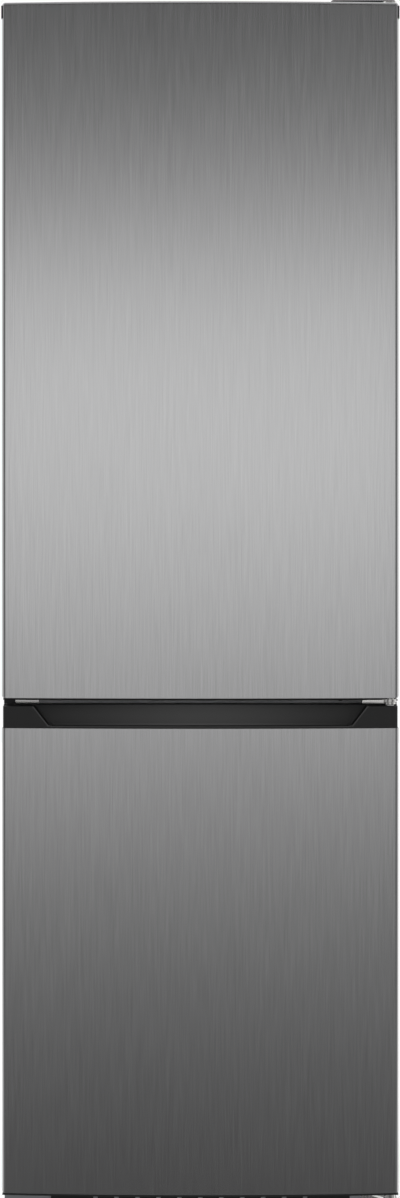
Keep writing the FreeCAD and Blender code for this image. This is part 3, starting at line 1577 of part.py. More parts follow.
def bottom_hinge():
    """Angle on the front skirt of the base, with the pin and collar that the lower door stands on."""
    x = bottom_flange_x
    flange_z = (bottom_plate_z[1] - bottom_flange_height, bottom_plate_z[1])
    flange = block(x, (flange_y, cabinet_front_y), flange_z)
    arm = arm_plate([
        (x[0], flange_y), (x[1], flange_y), (pin_x + arm_radius, pin_y), (pin_x - arm_radius, pin_y),
    ], bottom_plate_z)
    seat = V(pin_x, pin_y, bottom_plate_z[1])
    collar = bar(disc_radius, seat, V(pin_x, pin_y, lower_door_z - collar_gap), 2 * HEX)
    pin = rod(pin_radius, seat, V(pin_x, pin_y, lower_door_z + bush_height - pin_end_gap))
    return cut(fused([flange, arm, collar, pin]), screw_holes(bottom_screws(), ALONG_Y))


def hinge_hole_cover():
    """Blank plate over the holes for hanging the doors on the left."""
    x = (-flange_outer_x, -flange_outer_x + flange_width)
    z = (gap_middle_z - flange_height / 2, gap_middle_z + flange_height / 2)
    plate = rounded_block(x, (flange_y, cabinet_front_y), z, hinge_plate / 2, ALONG_Y)
    holes = [h.mirror(V(0, 0, 0), ALONG_X) for h in screw_holes(middle_screws(), ALONG_Y)]
    return cut(plate, holes)


hinge_cover_height = 14.0
hinge_cover_width = 100.0
hinge_cover_side_gap = 0.5
hinge_cover_length = 112.0
hinge_cover_radius = 6.0
hinge_cover_wall = 2.0

hinge_cover_outer = cabinet_half - hinge_cover_side_gap
hinge_cover_x = (hinge_cover_outer - hinge_cover_width, hinge_cover_outer)


def top_hinge_cover():
    """Moulded cover over the top hinge's flange and screws, open where the arm comes out."""
    y = (cabinet_front_y + glue_gap, cabinet_front_y + hinge_cover_length)
    z = (cabinet_top_z, cabinet_top_z + hinge_cover_height)
    outer = rounded_block(hinge_cover_x, y, z, hinge_cover_radius)
    rim = [e for e in outer.Edges if e.CenterOfMass.z > z[1] - glue_gap]
    outer = outer.makeChamfer(hinge_cover_wall, rim)
    wall = hinge_cover_wall
    inner = block((hinge_cover_x[0] + wall, hinge_cover_x[1] - wall), (y[0] + wall, y[1] - wall),
                  (z[0] - overrun, z[1] - wall))
    mouth = block((pin_x - arm_radius - arm_width - seat_gap, hinge_cover_x[1] - wall),
                  (y[0] - overrun, y[0] + overrun), (z[0] - overrun, top_plate_z[1] + seat_gap))
    return cut(outer, [inner, mouth])


def main():
    os.makedirs("parts", exist_ok=True)
    save("outer_wrapper", outer_wrapper())
    save("back_panel", back_panel())
    save("insulation_foam", *insulation_foam())
    save("fridge_liner", fridge_liner())
    save("freezer_liner", freezer_liner())
    save("front_crossbeam", front_crossbeam())
    save("base_frame", base_frame())
    save("machine_room_plates", *machine_room_plates())
    save("cord_inlet", cord_inlet())
    save("plinth", plinth())
    for side, shape in zip(("right", "left"), mirrored(levelling_foot())):
        save(f"levelling_foot_{side}", shape)
    for side, shape in zip(("right", "left"), mirrored(roller())):
        save(f"roller_{side}", shape)
    save("compressor", compressor())
    save("compressor_mounts", *compressor_mounts())
    save("relay_cover", relay_cover())
    save("drip_tray", drip_tray())
    save("condenser_tube", condenser_tube())
    save("condenser_wires", *condenser_wires())
    save("condenser_brackets", *condenser_brackets())
    save("refrigerant_pipes", *refrigerant_pipes())
    save("evaporator", evaporator())
    save("evaporator_cover", evaporator_cover())
    save("evaporator_fan", evaporator_fan())
    save("air_duct_cover", air_duct_cover())
    save("control_housing", control_housing())
    save("light_lens", light_lens())
    save("thermostat_knob", thermostat_knob())
    save("glass_shelves", *[glass_plate(z, (shelf_front_y, shelf_back_y)) for z in shelf_levels()])
    save("crisper_cover", glass_plate(fridge_height(crisper_cover_share), (shelf_front_y, shelf_back_y)))
    save("shelf_trims", *shelf_trims())
    freezer_shelf_y = (freezer_front_y, evaporator_cover_y - slide_gap)
    save("freezer_shelves", *[glass_plate(z, freezer_shelf_y) for z in freezer_shelf_z])
    save("crisper_drawer", crisper_drawer())
    for n, shape in enumerate(freezer_drawers(), 1):
        save(f"freezer_drawer_{n}", shape)
    save("top_hinge", top_hinge())
    save("top_hinge_cover", top_hinge_cover())
    save("middle_hinge", middle_hinge())
    save("bottom_hinge", bottom_hinge())
    save("hinge_hole_cover", hinge_hole_cover())
    save("hinge_screws", *hinge_screws())
    save("upper_door_skin", door_skin((upper_door_z, upper_door_top_z)))
    save("upper_door_foam", core_slab((upper_door_z + cap_height, upper_door_top_z - cap_height)))
    save("upper_door_liner", upper_door_liner())
    save("upper_door_top_cap", upper_door_top_cap())
    save("upper_door_bottom_cap", upper_door_bottom_cap())
    save("upper_door_gasket", door_gasket((fridge_z - gasket_overlap, fridge_top_z + gasket_overlap)))
    save("upper_door_bushes", *door_bushes("upper"))
    heights = (bottle_rack_height, balcony_height, balcony_height)
    names = ("door_bottle_rack", "door_balcony_middle", "door_balcony_top")
    for name, low, height in zip(names, balcony_levels(), heights):
        save(name, door_balcony(low, height))
    save("lower_door_skin", door_skin((lower_door_z + lip_height, handle_z), open_top=True))
    save("lower_door_foam", core_slab((lower_door_z + cap_height, handle_z - handle_skirt)))
    save("lower_door_liner", lower_door_liner())
    save("lower_door_handle_cap", lower_door_handle_cap())
    save("lower_door_bottom_cap", lower_door_bottom_cap())
    save("lower_door_gasket", door_gasket((freezer_z - gasket_overlap, freezer_top_z + gasket_overlap)))
    save("lower_door_bushes", *door_bushes("lower"))


main()
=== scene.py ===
# %% [markdown]
# # A tall fridge freezer in brushed steel
#
# The frame comes from the CAD model: every part is already in its place, in metres, with +Z up and
# the doors facing -Y. This lesson dresses it: it rebuilds the parts that a camera sees up close with
# finer forms, gives every part a procedural material, and sets up a plain studio.
#
# Sizes below are in millimetres, because that is how sheet metal and mouldings are drawn. They are
# turned into metres only where a mesh is made.

# %% Load the frame
import json
import math
from functools import partial

import bmesh
import bpy
from mathutils import Matrix, Vector


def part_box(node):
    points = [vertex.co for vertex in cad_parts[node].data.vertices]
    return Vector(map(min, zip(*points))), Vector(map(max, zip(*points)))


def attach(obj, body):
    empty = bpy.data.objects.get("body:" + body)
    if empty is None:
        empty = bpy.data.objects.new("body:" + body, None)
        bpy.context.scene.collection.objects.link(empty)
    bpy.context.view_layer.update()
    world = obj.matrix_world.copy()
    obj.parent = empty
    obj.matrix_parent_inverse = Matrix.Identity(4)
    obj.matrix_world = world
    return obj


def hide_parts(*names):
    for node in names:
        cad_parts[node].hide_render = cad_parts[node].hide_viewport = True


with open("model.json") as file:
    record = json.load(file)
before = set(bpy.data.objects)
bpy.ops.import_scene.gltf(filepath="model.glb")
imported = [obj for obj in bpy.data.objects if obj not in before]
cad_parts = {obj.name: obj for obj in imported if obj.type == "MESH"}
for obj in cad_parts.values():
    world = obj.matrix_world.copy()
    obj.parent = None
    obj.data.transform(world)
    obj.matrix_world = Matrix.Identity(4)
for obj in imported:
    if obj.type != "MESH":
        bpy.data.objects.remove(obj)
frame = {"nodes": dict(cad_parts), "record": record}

MM = 0.001
scene = bpy.context.scene
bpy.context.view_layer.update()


def span(node):
    """A node's box in millimetres: three (low, high) pairs."""
    low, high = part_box(node)
    return [(a / MM, b / MM) for a, b in zip(low, high)]

# %% [markdown]
# ## Sums in a shader
#
# A material is a graph of small nodes, and most of those in this lesson do one sum. In the editor
# each is placed and wired by hand. In code, one helper makes a Math node, gives it numbers or sockets
# and hands back its result, so that sums can be put inside sums like a formula.

# %% Sums
def calculate(tree, kind, *values):
    """One Math node from numbers and sockets."""
    node = tree.nodes.new("ShaderNodeMath")
    node.operation = kind
    for socket, value in zip(node.inputs, values):
        if isinstance(value, (int, float)):
            socket.default_value = value
        else:
            tree.links.new(value, socket)
    return node.outputs[0]

# %% [markdown]
# ## Painted light and shade on the handle
#
# The handle is a black moulding with a long scoop. Its colour carries painted light and shade: a painted
# pool of light in the middle of the scoop, painted shade in its corners, and painted highlights as thin
# lines along its rims. Lamps alone would leave lines of a millimetre or two to chance. An image could hold
# them, but here they are worked out from each point's distance to the scoop's outline, which stays sharp at
# every size. A band is a pair of distances, and what lies between them is made lighter or darker.

# %% Handle's painted light and shade
# The scoop's half widths at its top and its floor, and their heights
SCOOP_TOP, SCOOP_FLOOR = 252.2, 227.8
SCOOP_TOP_Z, SCOOP_FLOOR_Z = 776.0, 745.0
SCOOP_SLOPE = (SCOOP_TOP_Z - SCOOP_FLOOR_Z) / (SCOOP_TOP - SCOOP_FLOOR)
# Points behind this depth are on the scoop's back, and the others on the lip
LIP_DEPTH = -303.0
# Bands of painted highlight and painted shade along the slanted ends, as distances into the scoop, and how
# far below the floor they reach
RIM_HIGHLIGHT, SLANT_SHADE, SLANT_GLINT = (-2.0, -0.3), (-0.3, 0.4), (0.4, 2.4)
SLANT_FOOT = -1.2
# Bands of painted shade and painted glints along the floor and the lip, as heights above the floor
FLOOR_SHADE, FLOOR_GLINT, LIP_GLINT = (-3.0, -0.6), (-0.6, 2.0), (-1.5, 1.0)
# How strong each painted band is, and how bright and wide the painted pool of light in the middle of the
# scoop's back is
RIM_HIGHLIGHT_GAIN, GLINT_GAIN, LIP_GLINT_GAIN = 2.1, 0.4, 1.5
SLANT_SHADE_STRENGTH, FLOOR_SHADE_STRENGTH = 0.97, 0.8
MIDDLE_LIGHT_GAIN, MIDDLE_LIGHT_WIDTH = 5.2, 168.0


def scoop_painted_light(tree, vector):
    """Painted light and shade on the handle at a point, as a factor on its colour."""
    sums, times = partial(calculate, tree), partial(calculate, tree, "MULTIPLY")

    def between(distance, band):
        return times(sums("GREATER_THAN", distance, band[0]), sums("LESS_THAN", distance, band[1]))

    split = tree.nodes.new("ShaderNodeSeparateXYZ")
    tree.links.new(vector, split.inputs[0])
    aside = sums("DIVIDE", sums("ABSOLUTE", split.outputs["X"]), MM)
    above = sums("SUBTRACT", sums("DIVIDE", split.outputs["Z"], MM), SCOOP_FLOOR_Z)
    slant_height = times(sums("SUBTRACT", aside, SCOOP_FLOOR), SCOOP_SLOPE)
    inward = times(sums("SUBTRACT", above, slant_height), math.cos(math.atan(SCOOP_SLOPE)))
    # Masks: beside the slanted ends, between them, behind the lip, and on the scoop's back
    on_slant = sums("GREATER_THAN", above, SLANT_FOOT)
    between_slants = sums("GREATER_THAN", inward, 0.0)
    deep = sums("GREATER_THAN", sums("DIVIDE", split.outputs["Y"], MM), LIP_DEPTH)
    on_back = times(between_slants, deep)
    # Painted light: a pool in the middle of the back, glints inside the outline, a highlight on the rim
    # outside it, and a highlight on the lip
    middle = sums("EXPONENT", times(sums("POWER", sums("DIVIDE", aside, MIDDLE_LIGHT_WIDTH), 2.0), -1.0))
    lit = sums("MULTIPLY_ADD", times(middle, MIDDLE_LIGHT_GAIN), on_back, 1.0)
    slant_glint = times(between(inward, SLANT_GLINT), on_slant)
    glint = sums("MAXIMUM", slant_glint, times(between(above, FLOOR_GLINT), on_back))
    lit = times(lit, sums("MULTIPLY_ADD", glint, GLINT_GAIN, 1.0))
    lit = sums("MULTIPLY_ADD", times(between(inward, RIM_HIGHLIGHT), on_slant), RIM_HIGHLIGHT_GAIN, lit)
    # A painted highlight along the lip's top edge
    lip = times(times(between(above, LIP_GLINT), between_slants), sums("SUBTRACT", 1.0, deep))
    lit = sums("MULTIPLY_ADD", lip, LIP_GLINT_GAIN, lit)
    # Painted shade: the corners where the back meets the slanted ends and the floor
    slant_shade = times(times(between(inward, SLANT_SHADE), on_slant), SLANT_SHADE_STRENGTH)
    floor_shade = times(times(between(above, FLOOR_SHADE), on_back), FLOOR_SHADE_STRENGTH)
    return times(lit, sums("SUBTRACT", 1.0, sums("MAXIMUM", slant_shade, floor_shade)))


print("scoop", 2 * SCOOP_TOP, "mm wide at the top, its ends rise by", round(SCOOP_SLOPE, 2))

# %% [markdown]
# ## One surface for every part
#
# No real surface is one flat colour. A node group adds what all of them share: it takes the part's
# own coordinates, stretches them, and gives back an uneven colour, an uneven roughness and a height
# for the bump. Two noises do it: a fine grain that follows the stretch, and slow clouds that don't.
# Rolled steel gets a long upright stretch, which reads as brushing, and mouldings an even grain. As a
# group it is built once, and each material only sets its values.

# %% Surface group
SURFACE_INPUTS = {"Vector": "Vector", "Stretch": "Vector", "Color": "Color", "Roughness": "Float",
                  "Color change": "Float", "Roughness change": "Float", "Cloud size": "Float",
                  "Cloud change": "Float"}
SURFACE_OUTPUTS = {"Color": "Color", "Roughness": "Float", "Height": "Float"}


def surface_group(name, scoop=False):
    """The common surface. With `scoop` its colour also takes the handle's painted light and shade."""
    tree = bpy.data.node_groups.new(name, "ShaderNodeTree")
    for in_out, sockets in (("INPUT", SURFACE_INPUTS), ("OUTPUT", SURFACE_OUTPUTS)):
        for title, kind in sockets.items():
            tree.interface.new_socket(title, in_out=in_out, socket_type="NodeSocket" + kind)
    nodes, links = tree.nodes, tree.links
    given, result = nodes.new("NodeGroupInput").outputs, nodes.new("NodeGroupOutput").inputs
    stretched = nodes.new("ShaderNodeVectorMath")
    stretched.operation = "MULTIPLY"
    links.new(given["Vector"], stretched.inputs[0])
    links.new(given["Stretch"], stretched.inputs[1])
    grain = nodes.new("ShaderNodeTexNoise")
    grain.inputs["Scale"].default_value = 1.0
    grain.inputs["Detail"].default_value = 3.0
    links.new(stretched.outputs[0], grain.inputs["Vector"])
    cloud = nodes.new("ShaderNodeTexNoise")
    cloud.inputs["Detail"].default_value = 2.0
    links.new(given["Vector"], cloud.inputs["Vector"])
    links.new(given["Cloud size"], cloud.inputs["Scale"])

    def around_one(noise, change):
        """1 + (noise - a half) x change."""
        centred = calculate(tree, "SUBTRACT", noise.outputs[0], 0.5)
        return calculate(tree, "MULTIPLY_ADD", centred, change, 1.0)

    times = partial(calculate, tree, "MULTIPLY")
    tone = times(around_one(grain, given["Color change"]), around_one(cloud, given["Cloud change"]))
    # The handle's colour also takes its painted light and shade
    if scoop:
        tone = times(tone, scoop_painted_light(tree, given["Vector"]))
    tinted = nodes.new("ShaderNodeVectorMath")
    tinted.operation = "SCALE"
    links.new(given["Color"], tinted.inputs[0])
    links.new(tone, tinted.inputs["Scale"])
    links.new(tinted.outputs[0], result["Color"])
    rough = times(around_one(grain, given["Roughness change"]), given["Roughness"])
    rough.node.use_clamp = True
    links.new(rough, result["Roughness"])
    links.new(grain.outputs[0], result["Height"])
    return tree


GRAIN = surface_group("SurfaceGrain")
# The handle's group also paints light and shade into its colour
HANDLE_PAINTED_LIGHT = surface_group("HandlePaintedLight", scoop=True)
print("surface groups with", len(GRAIN.nodes), "and", len(HANDLE_PAINTED_LIGHT.nodes), "nodes")

# %% [markdown]
# ## A finish
#
# A finish is the group with its own values, wired into a Principled shader. The stretch is in waves
# per metre, so 400 gives a grain of 2.5 mm. What doesn't vary over the surface, such as Metallic, is
# set on the shader's own sockets.

# %% A finish
EVEN = (400.0, 400.0, 400.0)
UPRIGHT = (800.0, 800.0, 13.0)
# Clouds per metre, and the bump's depth in millimetres
CLOUD_SIZE, BUMP_DEPTH = 3.0, 0.02


def material(name, colour, roughness, stretch=EVEN, change=0.06, mottle=None, rough_change=0.2, bump=0.1,
             tree=GRAIN, **shader):
    """A procedural material. The last arguments set the shader's own sockets."""
    made = bpy.data.materials.new(name)
    made.use_nodes = True
    nodes, links = made.node_tree.nodes, made.node_tree.links
    bsdf = nodes["Principled BSDF"]
    coords = nodes.new("ShaderNodeTexCoord")
    group = nodes.new("ShaderNodeGroup")
    group.node_tree = tree
    values = {"Stretch": stretch, "Color": (*colour, 1.0), "Roughness": roughness, "Color change": change,
              "Cloud change": change if mottle is None else mottle, "Roughness change": rough_change,
              "Cloud size": CLOUD_SIZE}
    for title, value in values.items():
        group.inputs[title].default_value = value
    links.new(coords.outputs["Object"], group.inputs["Vector"])
    links.new(group.outputs["Color"], bsdf.inputs["Base Color"])
    links.new(group.outputs["Roughness"], bsdf.inputs["Roughness"])
    raised = nodes.new("ShaderNodeBump")
    raised.inputs["Strength"].default_value = bump
    raised.inputs["Distance"].default_value = BUMP_DEPTH * MM
    links.new(group.outputs["Height"], raised.inputs["Height"])
    links.new(raised.outputs["Normal"], bsdf.inputs["Normal"])
    for key, value in shader.items():
        bsdf.inputs[key.replace("_", " ")].default_value = value
    return made


def metal(name, colour, roughness, **more):
    return material(name, colour, roughness, Metallic=1.0, **more)


print("grain of", 1000 / EVEN[0], "mm, brushing", round(1000 / UPRIGHT[2]), "mm long")

# %% [markdown]
# ## The fridge's finishes
#
# Steel, zinc, aluminium and copper are metals: their colour is the colour of their reflections.
# Paints, enamel and mouldings are not. The drawers' clear plastic and the shelves' glass use Alpha,
# because so many layers of real refraction, one behind another, would turn black.

# %% Finishes
LOOKS = {
    "brushed_steel": metal("BrushedSteel", (0.70, 0.70, 0.705), 0.16, stretch=UPRIGHT, change=0.34,
                           mottle=0.06, rough_change=0.25, bump=0.06),
    "cabinet_paint": material("CabinetPaint", (0.010, 0.010, 0.011), 0.42, change=0.05),
    "beam_paint": material("BeamPaint", (0.76, 0.76, 0.77), 0.45, change=0.05),
    "galvanised": metal("Galvanised", (0.62, 0.64, 0.66), 0.42, stretch=(40.0, 40.0, 40.0), change=0.3),
    "white_liner": material("WhiteLiner", (0.86, 0.87, 0.87), 0.28, change=0.02, bump=0.02),
    "foam": material("Foam", (0.80, 0.72, 0.50), 0.9, stretch=(900.0, 900.0, 900.0), change=0.25, bump=0.5),
    "black_plastic": material("BlackPlastic", (0.012, 0.012, 0.012), 0.45, change=0.1),
    "grey_plastic": material("GreyPlastic", (0.42, 0.43, 0.44), 0.45),
    "white_plastic": material("WhitePlastic", (0.80, 0.80, 0.80), 0.4, change=0.02, bump=0.04),
    "clear_plastic": material("ClearPlastic", (0.80, 0.84, 0.86), 0.14, change=0.02, bump=0.02, Alpha=0.5),
    "glass": material("ShelfGlass", (0.66, 0.78, 0.75), 0.05, change=0.01, bump=0.01, Alpha=0.34),
    "zinc": metal("ZincPlate", (0.95, 0.94, 0.92), 0.20, stretch=(120.0, 120.0, 120.0), change=0.12,
                  bump=0.04),
    "screw_steel": metal("ScrewSteel", (0.70, 0.69, 0.68), 0.28, change=0.1),
    "black_enamel": material("BlackEnamel", (0.012, 0.012, 0.013), 0.30, change=0.1, Coat_Weight=0.4),
    "aluminium": metal("Aluminium", (0.80, 0.81, 0.82), 0.30, stretch=(30.0, 30.0, 300.0), change=0.1),
    "copper": metal("Copper", (0.80, 0.42, 0.27), 0.26, change=0.15),
    "seal_rubber": material("SealRubber", (0.22, 0.22, 0.225), 0.6, change=0.05),
    "black_rubber": material("BlackRubber", (0.014, 0.014, 0.014), 0.7, change=0.1),
}
# The lip under the upper door is blacker than the black plastic: painted shade under the steel's fold
lip_painted_shade_look = material("LipPaintedShade", (0.003, 0.003, 0.003), 0.6, change=0.1)
# The handle's black plastic, with painted light and shade in its colour
handle_painted_look = material("HandlePlasticPaintedLight", (0.0105, 0.0105, 0.0105), 0.45, change=0.1, tree=HANDLE_PAINTED_LIGHT)
print("finishes", len(LOOKS) + 2)

# %% [markdown]
# ## Dressing the CAD parts
#
# The record names every part's finish, and the body that it moves with. A CAD part's mesh stays as it
# is and only gets its material. Some of the parts give way to finer pieces later.

# %% Dress the CAD parts
slot_of = {part["node"]: part["material_slot"] for part in frame["record"]["subparts"]}
body_of = {node: body for body, nodes in frame["record"]["behaviour"]["bodies"].items() for node in nodes}
for node, slot in slot_of.items():
    mesh = frame["nodes"][node].data
    mesh.materials.clear()
    mesh.materials.append(LOOKS[slot])
print("dressed", len(slot_of), "CAD parts")

# %% [markdown]
# ## Finishing a piece
#
# Every new piece ends alike. Double vertices are merged, faces are turned outwards, and edges that turn by
# more than a limit are marked sharp, so that flat faces stay flat while rounds are shaded smooth. The Shade
# Smooth by Angle modifier does the same in the editor. Then the piece is scaled to metres, takes its finish,
# and is hung on the body that carries it, and the CAD part that it replaces is hidden.

# %% Finish a piece
SHARP = math.radians(32)


def finish_piece(bm, name, node, sharp=SHARP, replace=True, look=None):
    """Turns a bmesh in millimetres into a piece that stands for a CAD node and rides on its body."""
    bmesh.ops.remove_doubles(bm, verts=bm.verts, dist=0.0005)
    bmesh.ops.recalc_face_normals(bm, faces=bm.faces)
    for face in bm.faces:
        face.smooth = True
    for edge in bm.edges:
        edge.smooth = len(edge.link_faces) == 2 and edge.calc_face_angle(0.0) < sharp
    bmesh.ops.scale(bm, vec=(MM, MM, MM), verts=bm.verts)
    mesh = bpy.data.meshes.new(name)
    bm.to_mesh(mesh)
    bm.free()
    piece = bpy.data.objects.new(name, mesh)
    scene.collection.objects.link(piece)
    mesh.materials.append(look or LOOKS[slot_of[node]])
    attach(piece, body_of[node])
    if replace:
        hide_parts(node)
    print(name, "for", node, "on", body_of[node], "with", len(mesh.polygons), "faces")

# %% [markdown]
# ## The steel doors
#
# Each door front is one sheet, bent to a shallow curve and rolled over all four edges. Side returns
# run back to the inner sheet. The top and bottom have narrow hems, inside which the black end caps
# show. A curved plane with a bevel and a Solidify modifier would come close, but the steel's look
# depends on how evenly the reflections run. So the door's outline is written down as a function of
# how far it is drawn in, with its points at matching places each time.

# %% Door outline
(_, DOOR_HALF), (FRONT_Y, RETURN_Y), upper_z = span("upper_door_skin")
lower_z = span("lower_door_skin")[2]
BULGE, EDGE_R, CORNER_R = 15.0, 4.5, 5.0
SHEET, HEM = 0.6, 5.0
# How much narrower each inset makes the side, and how much of it lifts the lower edge
SIDE_FOLD, FOLD_SHARE = 1.2, 0.25
# A narrow flat band lies inside each rounded edge, so that the front's shading stays flat, and the
# level edge's points keep clear of the corner's
FLAT_BAND, CLEAR = 0.5, 0.5
BULGE_R = (DOOR_HALF**2 + BULGE**2) / (2 * BULGE)
# How far the upper sheet goes past the CAD sheet below and above, and how short the lower one stops
PAST_LOW, PAST_HIGH, STEEL_SHORT = 0.4, 1.0, 0.7
# What is cut off from the lower sheet's top
OFFCUT = 24.0


def quarter_turn(steps):
    """Angles from 0 to a right angle, for rounded edges."""
    return [math.pi / 2 * n / steps for n in range(steps + 1)]


def bulged(x, inset=0.0):
    """Where the curved front lies at x, or a surface that far behind it."""
    return FRONT_Y + BULGE_R - math.sqrt((BULGE_R - inset) ** 2 - x * x)


def door_chain(inset, fold, columns=64, steps=6):
    """One half of the door's outline, from side to side, as (x, height, whether it is the side).

    `fold` is the share of the inset that also lifts the level edge."""
    radius = max(CORNER_R - inset, 0.3)
    centre_x = DOOR_HALF - SIDE_FOLD * inset - radius
    arc = [(centre_x + radius * math.sin(t), radius - radius * math.cos(t))
           for t in reversed(quarter_turn(steps))]
    level = [((centre_x - CLEAR) * (1 - 2 * n / (columns - 1)), 0.0) for n in range(columns)]
    right_to_left = arc + level + [(-x, h) for x, h in reversed(arc)]
    side = [True] * len(arc) + [False] * len(level) + [True] * len(arc)
    return [(x, inset * fold + h, s) for (x, h), s in zip(right_to_left, side)]


print("door", round(2 * DOOR_HALF, 1), "mm wide, curve radius", round(BULGE_R))

# %% [markdown]
# ## Bending the sheets
#
# A form whose outline changes along its way is a row of matching outlines, joined by quads. In the
# editor that is Bridge Edge Loops, and here `skin_over`. Each sheet starts on its inner side, goes
# over the rear edge and round the rolled edge, and ends on the front. The front depends only on x, so
# upright quads between the outline's lower and upper half close it. The lower sheet is made too tall
# and cut off level, which leaves its sides straight up to the handle.

# %% Door fronts
def skin_over(bm, loops, ends="faces"):
    """Quads between successive loops of points. The ends get faces, are joined, or stay open."""
    rings = [[bm.verts.new(point) for point in loop] for loop in loops]
    pairs = list(zip(rings, rings[1:]))
    if ends == "joined":
        pairs.append((rings[-1], rings[0]))
    if ends == "faces":
        bm.faces.new(rings[0][::-1])
        bm.faces.new(rings[-1])
    for low, high in pairs:
        for n in range(len(low)):
            bm.faces.new((low[n - 1], low[n], high[n], high[n - 1]))
    return rings


def close_holes(bm):
    bmesh.ops.holes_fill(bm, edges=[edge for edge in bm.edges if edge.is_boundary], sides=0)


def door_sheet(z, name, node, open_top=False):
    """The bent sheet. With `open_top` it is made taller and cut off level, where the handle begins."""
    top = z[1] + (OFFCUT if open_top else 0.0)

    def loop(inset, depth=None):
        """The outline drawn in by an inset, that far behind the front, or else at the sheet's rear edge."""
        points = []
        halves = (z[0], 1, door_chain(inset, FOLD_SHARE)), (top, -1, door_chain(inset, 1.0)[::-1])
        for edge, way, chain in halves:
            for x, height, at_side in chain:
                rear = RETURN_Y if at_side else bulged(x) + HEM
                points.append((x, rear if depth is None else bulged(x) + depth, edge + way * height))
        return points

    inner = [loop(EDGE_R, SHEET), loop(EDGE_R / 2, EDGE_R / 2 + SHEET), loop(SHEET, EDGE_R), loop(SHEET)]
    outer = [loop(0.0), loop(0.0, EDGE_R + FLAT_BAND)]
    outer += [loop(EDGE_R * (1 - math.cos(t)), EDGE_R * (1 - math.sin(t))) for t in quarter_turn(6)]
    outer += [loop(EDGE_R + FLAT_BAND, 0.0)]
    bm = bmesh.new()
    rings = skin_over(bm, inner + outer, ends="open")
    for ring in (rings[0], rings[-1]):
        for n in range(len(ring) // 2 - 1):
            bm.faces.new((ring[n], ring[n + 1], ring[-2 - n], ring[-1 - n]))
    if open_top:
        bmesh.ops.bisect_plane(bm, geom=bm.verts[:] + bm.edges[:] + bm.faces[:], dist=0.001,
                               plane_co=(0, 0, z[1]), plane_no=(0, 0, 1), clear_outer=True)
        close_holes(bm)
    finish_piece(bm, name, node)


door_sheet((upper_z[0] - PAST_LOW, upper_z[1] + PAST_HIGH), "upper_door_front", "upper_door_skin")
door_sheet((lower_z[0], lower_z[1] - STEEL_SHORT), "lower_door_front", "lower_door_skin", open_top=True)

# %% [markdown]
# ## The lip under the upper door
#
# The upper door's lower end cap shows as a thin black line under the steel, and stops short of the hinge.
# The CAD cap lies just behind it. The line is a strip between two curves, blacker than the cap's plastic:
# that extra darkness is painted shade under the steel's fold. The strip is filled with a face and extruded
# upwards, as E does in edit mode. It stands beside the cap and doesn't replace it.

# %% Lip
def verts_in(parts):
    return [part for part in parts if isinstance(part, bmesh.types.BMVert)]


def drawn_out(bm, outline, step):
    """An outline filled with a face, and drawn out by a step."""
    face = bm.faces.new([bm.verts.new(point) for point in outline])
    grown = bmesh.ops.extrude_face_region(bm, geom=[face])["geom"]
    bmesh.ops.translate(bm, vec=step, verts=verts_in(grown))


LIP_Z = (upper_z[0] - 2.2, upper_z[0] + 0.1)
LIP_LEFT, LIP_RIGHT = -(DOOR_HALF - 2.0), DOOR_HALF - 24.0
LIP_FRONT, LIP_BACK = 2.5, 12.0

lip_x = [LIP_LEFT + (LIP_RIGHT - LIP_LEFT) * n / 48 for n in range(49)]
strip = [(x, bulged(x, LIP_FRONT), LIP_Z[0]) for x in lip_x]
strip += [(x, bulged(x, LIP_BACK), LIP_Z[0]) for x in reversed(lip_x)]
bm = bmesh.new()
drawn_out(bm, strip, (0, 0, LIP_Z[1] - LIP_Z[0]))
# The strip's extra blackness is painted shade
finish_piece(bm, "upper_door_lip", "upper_door_bottom_cap", replace=False, look=lip_painted_shade_look)

# %% [markdown]
# ## The handle band
#
# The cap on top of the lower door is the handle. Its scoop has slanted ends and a rounded floor, and
# behind the lip a groove for the fingertips. It could be a bar with a cutter taken from it by a
# Boolean, but the slants run smoothly into the floor, and a cutter would leave a crease there. So at
# every x the cap is one closed outline in depth and height, and the outlines are joined from side to
# side. They stand close together where the shape changes fast.

# %% Outline of the handle band
cap_y, cap_z = span("lower_door_handle_cap")[1:]
BAND_Z = (lower_z[1] - STEEL_SHORT, cap_z[1])
CAP_HALF, CAP_INSET, CAP_CORNER = DOOR_HALF - 1.6, 0.8, 3.0
SCOOP_BACK, TOP_EDGE = -290.0, 1.6
FLOOR_BLEND, FILLET = 5.0, 6.0
LIP, LIP_ROUND = 4.0, 1.2
GROOVE_HALF, GROOVE_DEPTH, GROOVE_RUN_OUT = SCOOP_FLOOR - 4.0, 12.0, 5.0


def smooth_step(t):
    t = max(0.0, min(1.0, t))
    return t * t * (3 - 2 * t)


def floor_height(x):
    """Height of the scoop's floor: level, then up the slanted end."""
    rise = (abs(x) - SCOOP_FLOOR) * (BAND_Z[1] - SCOOP_FLOOR_Z) / (SCOOP_TOP - SCOOP_FLOOR)
    if rise < -FLOOR_BLEND:
        return SCOOP_FLOOR_Z
    if rise < FLOOR_BLEND:
        return SCOOP_FLOOR_Z + (rise + FLOOR_BLEND) ** 2 / (4 * FLOOR_BLEND)
    return min(SCOOP_FLOOR_Z + rise, BAND_Z[1] - TOP_EDGE)


